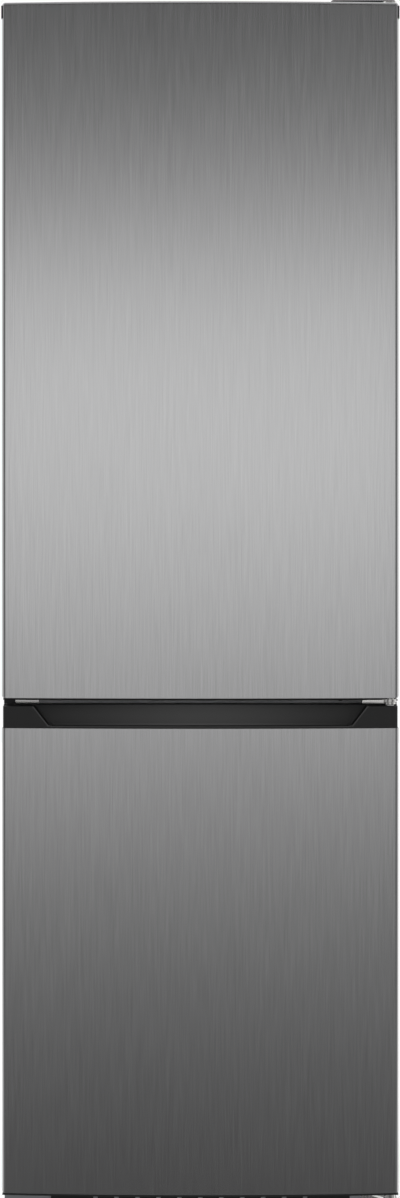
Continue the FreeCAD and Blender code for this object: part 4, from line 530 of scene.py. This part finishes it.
def cap_outline(x):
    """The cap at one x: up its front, over the lip, through the groove and up the scoop's back."""
    from_end = min(CAP_HALF - abs(x), CAP_CORNER)
    corner = CAP_CORNER - math.sqrt(max(CAP_CORNER**2 - (CAP_CORNER - from_end) ** 2, 0.0))
    front, back = bulged(x, CAP_INSET) + corner, cap_y[1]
    floor, top = floor_height(x), BAND_Z[1]
    rise = top - floor
    outline = [(back, BAND_Z[0]), (front + 0.5, BAND_Z[0]), (front, BAND_Z[0] + 0.5)]
    outline += [(front + LIP_ROUND * (1 - math.cos(t)), floor - LIP_ROUND * (1 - math.sin(t)))
                for t in quarter_turn(4)]
    groove = GROOVE_DEPTH * smooth_step((GROOVE_HALF - abs(x)) / GROOVE_RUN_OUT)
    inner = front + LIP
    outline += [(inner - 0.8, floor), (inner, floor - min(groove, 0.8)), (inner + 0.4, floor - groove),
                (SCOOP_BACK - 1.0, floor - groove), (SCOOP_BACK - 0.2, floor - groove * 0.6)]
    fillet = min(FILLET, rise * 0.6)
    for n, t in enumerate(quarter_turn(4)):
        if groove < 0.01:
            outline.append((SCOOP_BACK - fillet * (1 - math.sin(t)), floor + fillet * (1 - math.cos(t))))
        else:
            outline.append((SCOOP_BACK, floor + fillet * n / 4))
    edge = min(TOP_EDGE, rise * 0.3)
    outline += [(SCOOP_BACK + edge * (1 - math.cos(t)), top - edge * (1 - math.sin(t)))
                for t in quarter_turn(3)]
    outline.append((back, top))
    return [(x, y, z) for y, z in outline]


def cap_stations():
    """The x of each outline: dense at the rounded ends and on the slants, and wide apart between."""
    ends = [CAP_HALF - d for d in (0.0, 0.25, 0.7, 1.4, 2.2, CAP_CORNER)]
    beside = [290.0, 280.0, 270.0, 260.0, 254.0]
    slant = [SCOOP_TOP + 0.5 - n * 1.5 for n in range(22)]
    middle = [215.0 - 215.0 * n / 22 for n in range(22)]
    right = {round(x, 3) for x in ends + beside + slant + middle}
    return sorted(right | {-x for x in right} | {0.0})


print("handle band at", [round(z, 1) for z in BAND_Z], "with", len(cap_stations()), "outlines")

# %% [markdown]
# ## Joining the band
#
# The band is the skin over those outlines. Under it a skirt closes the door's top behind the steel. It
# has one outline all the way up, so it is drawn out like the lip, and ends just short of the band.

# %% Handle band
SKIRT_HALF, SKIRT_CORNER, SKIRT_INSET, SKIRT_GAP = DOOR_HALF - 0.8, 2.5, 0.8, 0.3
skirt_reach = SKIRT_HALF - SKIRT_CORNER
side_y = bulged(DOOR_HALF, SKIRT_INSET) + 3.0
skirt = [(-SKIRT_HALF, side_y)]
skirt += [(x, bulged(x, SKIRT_INSET)) for x in (skirt_reach * (n / 12 - 1) for n in range(25))]
skirt += [(SKIRT_HALF, side_y), (SKIRT_HALF, cap_y[1]), (-SKIRT_HALF, cap_y[1])]

bm = bmesh.new()
skin_over(bm, [cap_outline(x) for x in cap_stations()])
drawn_out(bm, [(x, y, cap_z[0]) for x, y in skirt], (0, 0, BAND_Z[0] - SKIRT_GAP - cap_z[0]))
# The band's plastic carries the handle's painted light and shade
finish_piece(bm, "handle_band", "lower_door_handle_cap", sharp=math.radians(40), look=handle_painted_look)

# %% [markdown]
# ## Plates with round edges
#
# Brackets and trays start as a box. A pressing has round corners seen from its face and a small round
# rim, so a cube is bevelled twice: first the edges along one axis, then the rims of both ends. One
# Bevel modifier would round all edges alike.

# %% Plates
def round_off(bm, edges, radius, steps):
    return bmesh.ops.bevel(bm, geom=list(edges), offset=radius, offset_type="OFFSET", affect="EDGES",
                           segments=steps, profile=0.5, material=-1)


def pillar(bm, x, y, z, corner, axis="z", steps=5):
    """A cube stretched to a box, with the four edges along one axis rounded. Returns its two ends."""
    along = "xyz".index(axis)
    sides = [high - low for low, high in (x, y, z)]
    middle = [(low + high) / 2 for low, high in (x, y, z)]
    place = Matrix.Translation(middle) @ Matrix.Diagonal((*sides, 1.0))
    corners = bmesh.ops.create_cube(bm, size=1.0, matrix=place)["verts"]
    edges = {edge for vert in corners for edge in vert.link_edges}
    long = [edge for edge in edges if abs((edge.verts[0].co - edge.verts[1].co)[along]) > 0.5 * sides[along]]
    room = min(side for n, side in enumerate(sides) if n != along)
    made = round_off(bm, long, min(corner, 0.4999 * room), steps)
    faces = {face for vert in made["verts"] for face in vert.link_faces if abs(face.normal[along]) > 0.99}
    return sorted(faces, key=lambda face: face.calc_center_median()[along])


def slab(bm, x, y, z, corner, rim, axis="z"):
    """A box with rounded corners round one axis and small round rims."""
    ends = pillar(bm, x, y, z, corner, axis)
    round_off(bm, [edge for face in ends for edge in face.edges], rim, 3)

# %% [markdown]
# ## Turned parts
#
# Pins, screws, feet and pots are round about one axis. Half a section is drawn as pairs of radius and
# distance, and the Spin tool takes it once round. A Screw modifier would do the same.

# %% Turned parts
def turned(bm, profile, centre, axis, sides=48):
    """A profile of (radius, distance along the axis) pairs, spun once round and closed at both ends."""
    centre, axis = Vector(centre), Vector(axis).normalized()
    aside = axis.orthogonal().normalized()
    chain = [bm.verts.new(centre + axis * along + aside * radius) for radius, along in profile]
    edges = [bm.edges.new(pair) for pair in zip(chain, chain[1:])]
    bmesh.ops.spin(bm, geom=chain + edges, cent=centre, axis=axis, angle=2 * math.pi, steps=sides,
                   use_merge=True)
    close_holes(bm)

# %% [markdown]
# ## The middle hinge
#
# The middle bracket shows in the gap between the doors: a flange on the cabinet, an arm, a pin with a
# collar and a wider disc, and a small stop tab. The arm is an outline drawn out, the pin a spun
# profile, and the rest are bevelled cubes. The arm's front edge is folded down as on the real
# pressing. A flat edge would mirror the dark gap, so the fold leans back by a few degrees, and mirrors
# the studio instead.

# %% Middle hinge
PIN = (286.9, -290.0)
GAP = (BAND_Z[1], upper_z[0])
GAP_MIDDLE = (GAP[0] + GAP[1]) / 2
cover_x, flange_y, _ = span("hinge_hole_cover")
FLANGE = (-cover_x[1], -cover_x[0]), flange_y, (GAP_MIDDLE - 14.0, GAP_MIDDLE + 14.0)
ARM_LEFT, ARM_R, ARM_LEAN = 245.5, 10.0, 3.0
ARM_Z = (GAP_MIDDLE - 1.0, GAP_MIDDLE + 3.0)
TAB = (PIN[0], PIN[0] + 12.0), (PIN[1] - 3.0, PIN[1] + 3.0), (ARM_Z[1] - 2.5, ARM_Z[1])
FOLD = (ARM_LEFT - 0.5, PIN[0] - 9.0), (PIN[1] - 1.0, PIN[1] + 0.8), (GAP_MIDDLE - 3.8, ARM_Z[1] + 0.1)
# The pin's radius and how far its tips reach into the doors, its disc and its collar
PIN_R, PIN_TIP, DISC_R, DISC_TALL, COLLAR_R, CHAMFER = 4.0, 11.2, 8.5, 3.2, 6.2, 0.3

bm = bmesh.new()
slab(bm, *FLANGE, 1.5, 0.4, axis="y")
root_y = flange_y[0] + 0.3
half_turn = [math.pi * n / 16 for n in range(17)]
arm = [(ARM_LEFT, root_y), (ARM_LEFT, PIN[1] + 1.0)]
arm += [(PIN[0] - ARM_R * math.cos(t), PIN[1] - ARM_R * math.sin(t)) for t in half_turn]
arm += [(FLANGE[0][1], root_y)]
drawn_out(bm, [(x, y, ARM_Z[0]) for x, y in arm], (0, 0, ARM_Z[1] - ARM_Z[0]))

low, high = GAP[0] + 0.2, GAP[1] - 0.2
disc_top = low + DISC_TALL
turned(bm, [(PIN_R, low - PIN_TIP), (PIN_R, low), (DISC_R - CHAMFER, low), (DISC_R, low + CHAMFER),
            (DISC_R, disc_top - CHAMFER), (DISC_R - CHAMFER, disc_top), (COLLAR_R, disc_top),
            (COLLAR_R, high - CHAMFER), (COLLAR_R - CHAMFER, high), (PIN_R, high), (PIN_R, high + PIN_TIP)],
       (*PIN, 0), (0, 0, 1))
slab(bm, *TAB, 1.0, 0.3)
others = set(bm.verts)
slab(bm, *FOLD, 0.8, 0.3, axis="y")
bmesh.ops.rotate(bm, verts=[vert for vert in bm.verts if vert not in others], cent=(0, PIN[1], GAP_MIDDLE),
                 matrix=Matrix.Rotation(-math.radians(ARM_LEAN), 3, "X"))
finish_piece(bm, "middle_hinge_bracket", "middle_hinge")

# %% [markdown]
# ## Screws
#
# Eleven screws hold the hinges and the plate over the spare holes. Each is a flanged pan head on a
# short shank. A spun profile gives the head its flange, its dome and the small hollow of the recess,
# and is light enough to repeat. They share one node in the CAD model, so they are one piece. Copies
# on the points of a mesh would do too, but these places follow the plates.

# %% Screws
# Each plate's screws, as shares of its width and of its height or depth
MIDDLE_SHARES = ((-0.28, 0.34), (0.28, 0.34), (0.0, -0.34))
TOP_SHARES = ((0.2, 0.72), (0.8, 0.72), (0.5, 0.28))
BOTTOM_SHARES = ((0.2, 0.5), (0.8, 0.5))
FLANGE_WIDE, FLANGE_TALL = 36.0, 28.0
# The top plate's left edge and its front, its size, and its upper face
TOP_LEFT, TOP_FRONT, TOP_WIDE, TOP_DEEP, TOP_FACE = PIN[0] - 76.0, -238.0, 86.0, 72.0, 1839.0
# The bottom plate's left edge, its top, and its size
BOTTOM_LEFT, BOTTOM_TOP, BOTTOM_WIDE, BOTTOM_TALL = PIN[0] - 41.0, 30.0, 46.0, 15.0


def screw(bm, seat, outwards, radius=4.2, height=2.2, shank=2.0, length=3.0):
    """A flanged pan head with a small recess."""
    profile = [(shank, -length), (shank, 0.0), (radius, 0.0), (radius, 0.5), (radius * 0.78, 0.9),
               (radius * 0.72, height * 0.7), (radius * 0.55, height * 0.95), (0.9, height),
               (0.5, height * 0.55)]
    turned(bm, profile, seat, outwards, sides=24)


flange_middle = sum(FLANGE[0]) / 2
bm = bmesh.new()
for side in (1, -1):
    for u, w in MIDDLE_SHARES:
        x = side * (flange_middle + u * FLANGE_WIDE)
        screw(bm, (x, flange_y[0], GAP_MIDDLE + w * FLANGE_TALL), (0, -1, 0))
for u, v in TOP_SHARES:
    screw(bm, (TOP_LEFT + u * TOP_WIDE, TOP_FRONT + v * TOP_DEEP, TOP_FACE), (0, 0, 1))
for u, w in BOTTOM_SHARES:
    screw(bm, (BOTTOM_LEFT + u * BOTTOM_WIDE, flange_y[0], BOTTOM_TOP - w * BOTTOM_TALL), (0, -1, 0))
finish_piece(bm, "screws", "hinge_screws")

# %% [markdown]
# ## Door seals
#
# Each magnetic seal is a ring with a flat foot, a narrow waist and a fat bulb. A curve with its own
# profile could make it, but its mitred corners are round here and tighten towards the inside, so it is
# a closed row of rounded rectangles, one for each point of the profile.

# %% Seals
SEAL_CORNER = 16.0
# Pairs of the distance in from the outer edge, and the share of the seal's depth
SEAL_PROFILE = [(0.0, 0.0), (0.0, 0.16), (2.2, 0.24), (3.6, 0.36), (2.4, 0.5), (2.5, 0.62), (2.5, 0.94),
                (3.2, 1.0), (11.6, 1.0), (12.4, 0.94), (12.4, 0.62), (12.6, 0.5), (11.4, 0.36),
                (12.8, 0.24), (15.0, 0.16), (15.0, 0.0)]


def round_rect(x, y, radius, steps=6):
    """Corners of a rounded rectangle, counterclockwise from the right side."""
    centres = ((x[1] - radius, y[1] - radius), (x[0] + radius, y[1] - radius),
               (x[0] + radius, y[0] + radius), (x[1] - radius, y[0] + radius))
    points = []
    for quarter, (cx, cy) in enumerate(centres):
        turns = [quarter * math.pi / 2 + t for t in quarter_turn(steps)]
        points += [(cx + radius * math.cos(t), cy + radius * math.sin(t)) for t in turns]
    return points


def seal(name, node):
    x, y, z = span(node)
    rings = []
    for inset, share in SEAL_PROFILE:
        wide, tall = (x[0] + inset, x[1] - inset), (z[0] + inset, z[1] - inset)
        depth = y[0] + share * (y[1] - y[0])
        rings.append([(u, depth, w) for u, w in round_rect(wide, tall, SEAL_CORNER - inset)])
    bm = bmesh.new()
    skin_over(bm, rings, ends="joined")
    finish_piece(bm, name, node)


for place in ("upper", "lower"):
    seal(place + "_seal", place + "_door_gasket")

# %% [markdown]
# ## Door bins
#
# Bins and drawers are injection moulded, with one wall thickness and a round on every edge. So each is
# made in the order of a mould: a cube, its upright edges and its floor's rim rounded, the lid taken
# off, the skin thickened inwards, and the new rim rounded. A Solidify modifier would do too, but the
# operator leaves the finished mesh at once.

# %% Bins
WALL, BIN_CORNER, FLOOR_ROUND = 2.2, 14.0, 4.0


def tray(bm, x, y, z, wall, corner):
    """An open box with round edges, outside as large as it is told."""
    floor, lid = pillar(bm, x, y, z, corner, steps=8)
    round_off(bm, floor.edges, FLOOR_ROUND, 4)
    others = set(bm.faces) - {lid}
    bmesh.ops.delete(bm, geom=[lid], context="FACES_ONLY")
    bmesh.ops.solidify(bm, geom=list(others), thickness=wall)
    top = {face for face in bm.faces if all(abs(vert.co.z - z[1]) < 0.01 for vert in face.verts)}
    rims = {edge for face in top for edge in face.edges if len(top.intersection(edge.link_faces)) == 1}
    round_off(bm, rims, 0.4 * wall, 2)


for node in ("door_bottle_rack", "door_balcony_middle", "door_balcony_top"):
    bm = bmesh.new()
    tray(bm, *span(node), WALL, BIN_CORNER)
    finish_piece(bm, node + "_bin", node)

# %% [markdown]
# ## Drawers
#
# The crisper and the three freezer drawers are trays with a front of their own. Its middle is sunk a
# little inside a border, which stiffens a real one, and an inset does that in two steps: one for the
# border and one for the depth. Along the top runs a hooked grip to pull it by, an outline drawn out
# sideways.

# %% Drawers
DRAWER_WALL, DRAWER_CORNER = 2.5, 8.0
BORDER, SUNK = 7.0, 0.9
GRIP_REACH, GRIP_DROP, GRIP_HALF = 14.0, 16.0, 95.0
# The grip's section: distance behind its foremost point, and height against the drop
HOOK = [(16.5, 0.0), (2.0, 0.0), (0.6, -0.6), (0.0, -2.0), (0.0, -13.0), (1.5, -14.0), (3.0, -13.0),
        (3.0, -3.0), (16.5, -3.0)]


def sink_front(bm, border, depth):
    """Sinks the middle of the foremost large face that looks forward, inside a border."""
    front = min((face for face in bm.faces if face.normal.y < -0.99 and face.calc_area() > 1000.0),
                key=lambda face: face.calc_center_median().y)
    bmesh.ops.inset_region(bm, faces=[front], thickness=border, use_even_offset=True)
    bmesh.ops.inset_region(bm, faces=[front], thickness=depth, depth=-depth, use_even_offset=True)


def drawer(node):
    x, y, z = span(node)
    bm = bmesh.new()
    tray(bm, x, (y[0] + GRIP_REACH, y[1]), z, DRAWER_WALL, DRAWER_CORNER)
    sink_front(bm, BORDER, SUNK)
    hook = [(-GRIP_HALF, y[0] + back, z[1] - GRIP_DROP + up) for back, up in HOOK]
    drawn_out(bm, hook, (2 * GRIP_HALF, 0, 0))
    finish_piece(bm, node + "_bin", node)


for node in ("crisper_drawer", "freezer_drawer_1", "freezer_drawer_2", "freezer_drawer_3"):
    drawer(node)

# %% [markdown]
# ## Feet
#
# The fridge stands on two screw feet in front, which level it. A foot is a round pad, a six-sided
# collar for the spanner and a threaded stud. A spin with six steps makes the collar as easily as one
# with 48 makes the pad.

# %% Feet
PAD = [(15.5, 0.0), (16.8, 0.8), (16.8, 3.0), (14.5, 4.6), (12.0, 5.0)]
COLLAR = [(12.0, 5.0), (13.0, 5.8), (13.0, 11.2), (12.0, 12.0)]
STUD_R, STUD_END = 5.0, 0.6


def foot(side):
    x, y, z = span(f"levelling_foot_{side}")
    centre = ((x[0] + x[1]) / 2, (y[0] + y[1]) / 2, 0.0)
    bm = bmesh.new()
    turned(bm, PAD, centre, (0, 0, 1))
    turned(bm, COLLAR, centre, (0, 0, 1), sides=6)
    stud = [(STUD_R, COLLAR[-1][1]), (STUD_R, z[1] - STUD_END), (STUD_R - STUD_END, z[1])]
    turned(bm, stud, centre, (0, 0, 1), sides=24)
    finish_piece(bm, f"foot_{side}", f"levelling_foot_{side}")

# %% [markdown]
# ## Rollers
#
# Behind, it rolls on two wheels, so that it can be pulled out of its niche. A wheel has a hub, a
# shallow web and a rim. Both sides are alike, so half of its profile is written down and mirrored.

# %% Feet and rollers
AXLE_R = 3.0
# Half of the wheel's profile, as radius and distance from its middle: hub, web, rim and tread
HALF_WHEEL = [(AXLE_R, 9.0), (8.0, 9.0), (8.6, 8.4), (12.2, 8.4), (12.8, 9.0), (13.6, 9.0), (14.8, 7.6)]


def wheel(side):
    x, y, z = span(f"roller_{side}")
    centre = (0.0, (y[0] + y[1]) / 2, (z[0] + z[1]) / 2)
    middle = (x[0] + x[1]) / 2
    profile = [(AXLE_R, x[0])] + [(r, middle - d) for r, d in HALF_WHEEL]
    profile += [(r, middle + d) for r, d in reversed(HALF_WHEEL)] + [(AXLE_R, x[1])]
    bm = bmesh.new()
    turned(bm, profile, centre, (1, 0, 0))
    finish_piece(bm, f"wheel_{side}", f"roller_{side}")


for side in ("right", "left"):
    foot(side)
    wheel(side)

# %% [markdown]
# ## The condenser's tube
#
# One long steel tube snakes up the back and gives off the heat. It could be a curve with a round
# bevel. Here it is made as the real one is bent: a circle is extruded along each run and spun through
# half a turn at each end.

# %% Condenser tube
tube_y = span("condenser_tube")[1]
TUBE_R, TUBE_SIDES, BEND_STEPS = 2.4, 12, 14
PASSES, FIRST_PASS, LAST_PASS = 18, 300.0, 1726.0
OUTER_BEND = 232.0
tube_middle = (tube_y[0] + tube_y[1]) / 2
pitch = (LAST_PASS - FIRST_PASS) / (PASSES - 1)
bend_x = OUTER_BEND - pitch / 2


def edges_within(ring):
    edges = {edge for vert in ring for edge in vert.link_edges}
    return [edge for edge in edges if edge.verts[0] in ring and edge.verts[1] in ring]


x = -OUTER_BEND
bm = bmesh.new()
faced = Matrix.Translation((x, tube_middle, FIRST_PASS)) @ Matrix.Rotation(math.pi / 2, 4, "Y")
ring = bmesh.ops.create_circle(bm, cap_ends=True, radius=TUBE_R, segments=TUBE_SIDES, matrix=faced)["verts"]
for n in range(PASSES):
    way = 1 if n % 2 == 0 else -1
    target = way * (bend_x if n < PASSES - 1 else OUTER_BEND)
    ring = verts_in(bmesh.ops.extrude_edge_only(bm, edges=edges_within(ring))["geom"])
    bmesh.ops.translate(bm, vec=(target - x, 0, 0), verts=ring)
    x = target
    if n < PASSES - 1:
        spun = bmesh.ops.spin(bm, geom=ring + edges_within(ring), angle=math.pi, steps=BEND_STEPS,
                              cent=(x, tube_middle, FIRST_PASS + (n + 0.5) * pitch), axis=(0, -way, 0))
        ring = verts_in(spun["geom_last"])
close_holes(bm)
finish_piece(bm, "condenser_coil", "condenser_tube")
print("condenser tube", PASSES, "passes,", round(pitch, 1), "mm apart")

# %% [markdown]
# ## The condenser's wires
#
# Two grids of thin wire clasp the tube and spread its heat. The wires are turned with only eight
# sides, because there are nearly a hundred. An Array modifier could repeat one wire too. A flat strap
# ends each grid above and below.

# %% Condenser wires
wire_x, _, wire_z = span("condenser_wires")
WIRES, WIRE_R, WIRE_OFF, WIRE_SHORT = 49, 0.75, 0.95, 1.0
STRAP, STRAP_HALF = 9.0, 0.9
wire_half = wire_x[1] - STRAP
wire = [(WIRE_R, wire_z[0] + WIRE_SHORT), (WIRE_R, wire_z[1] - WIRE_SHORT)]

bm = bmesh.new()
for side in (-1, 1):
    y = tube_middle + side * (TUBE_R + WIRE_OFF)
    for n in range(WIRES):
        x = wire_half * (2 * n / (WIRES - 1) - 1)
        turned(bm, wire, (x, y, 0), (0, 0, 1), sides=8)
    for z in ((wire_z[0], wire_z[0] + STRAP), (wire_z[1] - STRAP, wire_z[1])):
        slab(bm, wire_x, (y - STRAP_HALF, y + STRAP_HALF), z, 1.0, 0.3, axis="y")
finish_piece(bm, "condenser_grids", "condenser_wires")

# %% [markdown]
# ## The compressor
#
# It is a pot of two drawn steel halves, welded round the middle, which shows as a proud band. One spun
# profile holds the lower dome, the seam and the upper dome. The foot plate is a bevelled cube.

# %% Compressor
plate_x, plate_y, (plate_z, pot_top) = span("compressor")
pot_low = plate_z + 3.0
POT_R, DOME_R, SEAM_SHARE = 72.0, 34.0, 0.42
seam = pot_low + SEAM_SHARE * (pot_top - pot_low)
# The band: how far it stands out, and its height from the seam
BAND = ((0.0, -0.2), (3.0, 0.0), (3.8, 1.0), (3.8, 4.0), (3.0, 5.0), (0.0, 5.2))

dome = [(POT_R - DOME_R * (1 - math.sin(t)), DOME_R * (1 - math.cos(t))) for t in quarter_turn(10)]
profile = [(0.5, pot_low)] + [(r, pot_low + h) for r, h in dome]
profile += [(POT_R + r, seam + h) for r, h in BAND]
profile += [(r, pot_top - h) for r, h in reversed(dome)] + [(0.5, pot_top)]
bm = bmesh.new()
turned(bm, profile, ((plate_x[0] + plate_x[1]) / 2, (plate_y[0] + plate_y[1]) / 2, 0), (0, 0, 1), sides=72)
slab(bm, plate_x, plate_y, (plate_z, pot_low), 12.0, 0.5)
finish_piece(bm, "compressor_pot", "compressor")

# %% [markdown]
# ## What the steel mirrors
#
# Brushed steel is a blurred mirror for what stands round it, so its look is made by the world. Ahead
# of the doors stands a bell of light a little above the camera's height, dark towards the floor and
# the ceiling. To the sides stand a dark band and then a bright one, which draw the two thin lines
# where the front rolls over into the side. An image of a real studio would do as well, but a few
# numbers per direction are easier to tune.

# %% Light by direction
ROOM_LIGHT, MIRROR_GAIN = 0.9, 1.45
BELL_MIDDLE, BELL_PEAK = 4.0, 0.60
BELL_LOW, BELL_HIGH = (0.025, 9.2), (0.063, 1.9)
BELL_STEPS = (-20, -16, -13, -10, -8, -6, -4, -2, 0, 1, 2, 3, 4, 5, 5.8, 6.8, 8.8)


def front_light(degrees):
    """A bell of light ahead of the doors, with a steep upper flank: (base, width) of each flank."""
    base, width = BELL_HIGH if degrees > BELL_MIDDLE else BELL_LOW
    return base + (BELL_PEAK - base) * math.exp(-(((degrees - BELL_MIDDLE) / width) ** 2))


# Light by degrees of elevation, ahead of the doors
ELEVATION_LIGHT = [(-90, 0.03), (-85, 0.06), (-60, 0.075), (-35, 0.075)]
ELEVATION_LIGHT += [(degrees, front_light(degrees)) for degrees in BELL_STEPS]
ELEVATION_LIGHT += [(11, 0.044), (15, 0.036), (25, 0.045), (33, 0.06), (42, 0.20), (55, 0.36), (90, 0.36)]
# By degrees of turn away from the front: how far the side's light takes over, and that light
SIDE_SHARE = [(0, 0.0), (16, 0.0), (21, 0.35), (27, 0.75), (35, 1.0), (180, 1.0)]
SIDE_LIGHT = [(0, 0.12), (30, 0.09), (50, 0.07), (75, 0.30), (100, 0.52), (180, 0.52)]
# How the side's light changes by degrees of elevation
SIDE_RISE = [(-90, 0.3), (-30, 0.7), (-15, 1.1), (-7, 1.0), (10, 1.0), (90, 1.0)]
print("brightest ahead", max(level for _, level in ELEVATION_LIGHT), "at", BELL_MIDDLE, "degrees up")

# %% [markdown]
# ## The mirrored studio
#
# The world's own nodes turn those numbers into light: a ray's direction gives an elevation and a
# turn away from the front, and colour ramps make greys of both.

# %% Mirrored studio
def ramp(tree, factor, stops):
    """A colour ramp of greys from (place, level) pairs."""
    node = tree.nodes.new("ShaderNodeValToRGB")
    node.color_ramp.interpolation = "LINEAR"
    marks = node.color_ramp.elements
    while len(marks) < len(stops):
        marks.new(0.5)
    for mark, (place, _) in zip(marks, stops):
        mark.position = place
    for mark, (_, level) in zip(marks, stops):
        mark.color = (level, level, level, 1.0)
    tree.links.new(factor, node.inputs[0])
    return node.outputs[0]


def mirrored_light(tree):
    """The light that glossy rays meet, from the world's direction."""
    sums = partial(calculate, tree)

    def by_elevation(stops):
        return ramp(tree, elevation, [((degrees + 90) / 180, level) for degrees, level in stops])

    def by_turn(stops):
        return ramp(tree, turn, [(degrees / 180, level) for degrees, level in stops])

    coords = tree.nodes.new("ShaderNodeTexCoord")
    split = tree.nodes.new("ShaderNodeSeparateXYZ")
    tree.links.new(coords.outputs["Generated"], split.inputs[0])
    x, y, z = split.outputs
    # Elevation from -90 to 90 degrees and the turn from 0 to 180 both become 0 to 1
    elevation = sums("MULTIPLY_ADD", sums("ARCSINE", z), 1 / math.pi, 0.5)
    flat = sums("POWER", sums("ADD", sums("POWER", x, 2), sums("POWER", y, 2)), 0.5)
    ahead = sums("DIVIDE", sums("MULTIPLY", y, -1), sums("MAXIMUM", flat, 0.0001))
    turn = sums("DIVIDE", sums("ARCCOSINE", sums("MINIMUM", sums("MAXIMUM", ahead, -1), 1)), math.pi)
    seen = tree.nodes.new("ShaderNodeMix")
    seen.data_type = "RGBA"
    tree.links.new(by_turn(SIDE_SHARE), seen.inputs[0])
    tree.links.new(by_elevation(ELEVATION_LIGHT), seen.inputs[6])
    tree.links.new(sums("MULTIPLY", by_turn(SIDE_LIGHT), by_elevation(SIDE_RISE)), seen.inputs[7])
    return seen.outputs[2]

# %% [markdown]
# ## The world
#
# A Light Path node tells what kind of ray asks. Only glossy rays see the studio. The camera sees plain
# white, and everything else is lit by an even white room, so that each colour renders about as it is
# written.

# %% World
def studio_world():
    made = bpy.data.worlds.new("Studio")
    scene.world = made
    made.use_nodes = True
    tree = made.node_tree
    tree.nodes.clear()
    out = tree.nodes.new("ShaderNodeOutputWorld")
    path = tree.nodes.new("ShaderNodeLightPath").outputs

    def light(strength, colour=None):
        node = tree.nodes.new("ShaderNodeBackground")
        node.inputs["Strength"].default_value = strength
        node.inputs["Color"].default_value = (1, 1, 1, 1)
        if colour is not None:
            tree.links.new(colour, node.inputs["Color"])
        return node.outputs[0]

    def chosen(mask, otherwise, picked):
        node = tree.nodes.new("ShaderNodeMixShader")
        for socket, value in zip(node.inputs, (mask, otherwise, picked)):
            tree.links.new(value, socket)
        return node.outputs[0]

    room = light(ROOM_LIGHT)
    glossy = chosen(path["Is Glossy Ray"], room, light(MIRROR_GAIN, mirrored_light(tree)))
    clear = chosen(path["Is Transmission Ray"], glossy, room)
    tree.links.new(chosen(path["Is Camera Ray"], clear, light(1.0)), out.inputs["Surface"])
    print("world of", len(tree.nodes), "nodes")


studio_world()

# %% [markdown]
# ## Floor
#
# The floor is white paper. It glows a little for the camera alone, so that it reads as white and still
# shows the soft shadow. More light would whiten it too, but bleach the fridge. Glossy rays don't see
# it, because they have their own studio.

# %% Floor
FLOOR_SIZE, FLOOR_LIFT = 14.0, 0.4
bpy.ops.mesh.primitive_plane_add(size=FLOOR_SIZE, location=(0, 2.0, 0))
floor = bpy.context.object
floor.name = "studio_floor"
floor.visible_glossy = False
floor_look = bpy.data.materials.new("FloorPale")
floor_look.use_nodes = True
tree = floor_look.node_tree
paper = tree.nodes["Principled BSDF"].inputs
paper["Base Color"].default_value = (1.0, 1.0, 1.0, 1)
paper["Roughness"].default_value = 0.9
paper["Emission Color"].default_value = (1, 1, 1, 1)
camera_sees = tree.nodes.new("ShaderNodeLightPath").outputs["Is Camera Ray"]
tree.links.new(calculate(tree, "MULTIPLY", camera_sees, FLOOR_LIFT), paper["Emission Strength"])
floor.data.materials.append(floor_look)
print("floor", FLOOR_SIZE, "m wide")

# %% [markdown]
# ## Lamps
#
# Two weak area lamps give the shadow its direction. They are hidden from glossy rays, or the steel
# would mirror them as bright squares.

# %% Lamps
def lamp(name, place, target, size, power):
    """An area lamp in metres and watts, aimed at a point."""
    data = bpy.data.lights.new(name, "AREA")
    data.shape = "RECTANGLE"
    data.size, data.size_y = size
    data.energy = power
    made = bpy.data.objects.new(name, data)
    made.location = place
    made.rotation_euler = (Vector(target) - Vector(place)).to_track_quat("-Z", "Y").to_euler()
    made.visible_glossy = False
    scene.collection.objects.link(made)
    print(name, power, "W")


lamp("key", (-1.6, -3.2, 3.4), (0, 0, 0.8), (2.0, 2.0), 35)
lamp("fill", (2.4, -2.6, 1.6), (0, 0, 0.9), (1.6, 2.2), 12)

# %% [markdown]
# ## Camera
#
# The camera stands level, straight ahead, and is shifted rather than tilted, so that upright edges
# stay upright as in the photograph. Its distance comes from the slight perspective of the front's
# edges, and its lens from the height of the picture at that distance.

# %% Camera
# The picture's height at the front (rows times metres per pixel), and the height at its middle
PICTURE_TALL, PICTURE_MIDDLE = 1198 * 0.0015015, 0.9363
CAMERA_X, CAMERA_HEIGHT, CAMERA_AWAY, FILM = -0.0005, 1.06, 4.4, 24.0
camera_data = bpy.data.cameras.new("camera")
camera = bpy.data.objects.new("camera", camera_data)
scene.collection.objects.link(camera)
scene.camera = camera
camera.location = (CAMERA_X, FRONT_Y * MM - CAMERA_AWAY, CAMERA_HEIGHT)
camera.rotation_euler = (math.radians(90), 0, 0)
camera_data.sensor_fit = "VERTICAL"
camera_data.sensor_height = FILM
camera_data.lens = FILM * CAMERA_AWAY / PICTURE_TALL
camera_data.shift_y = (PICTURE_MIDDLE - CAMERA_HEIGHT) / PICTURE_TALL
camera_data.clip_end = 60.0
scene.view_settings.view_transform = "Standard"
scene.view_settings.look = "None"
print("lens", round(camera_data.lens, 2), "mm")
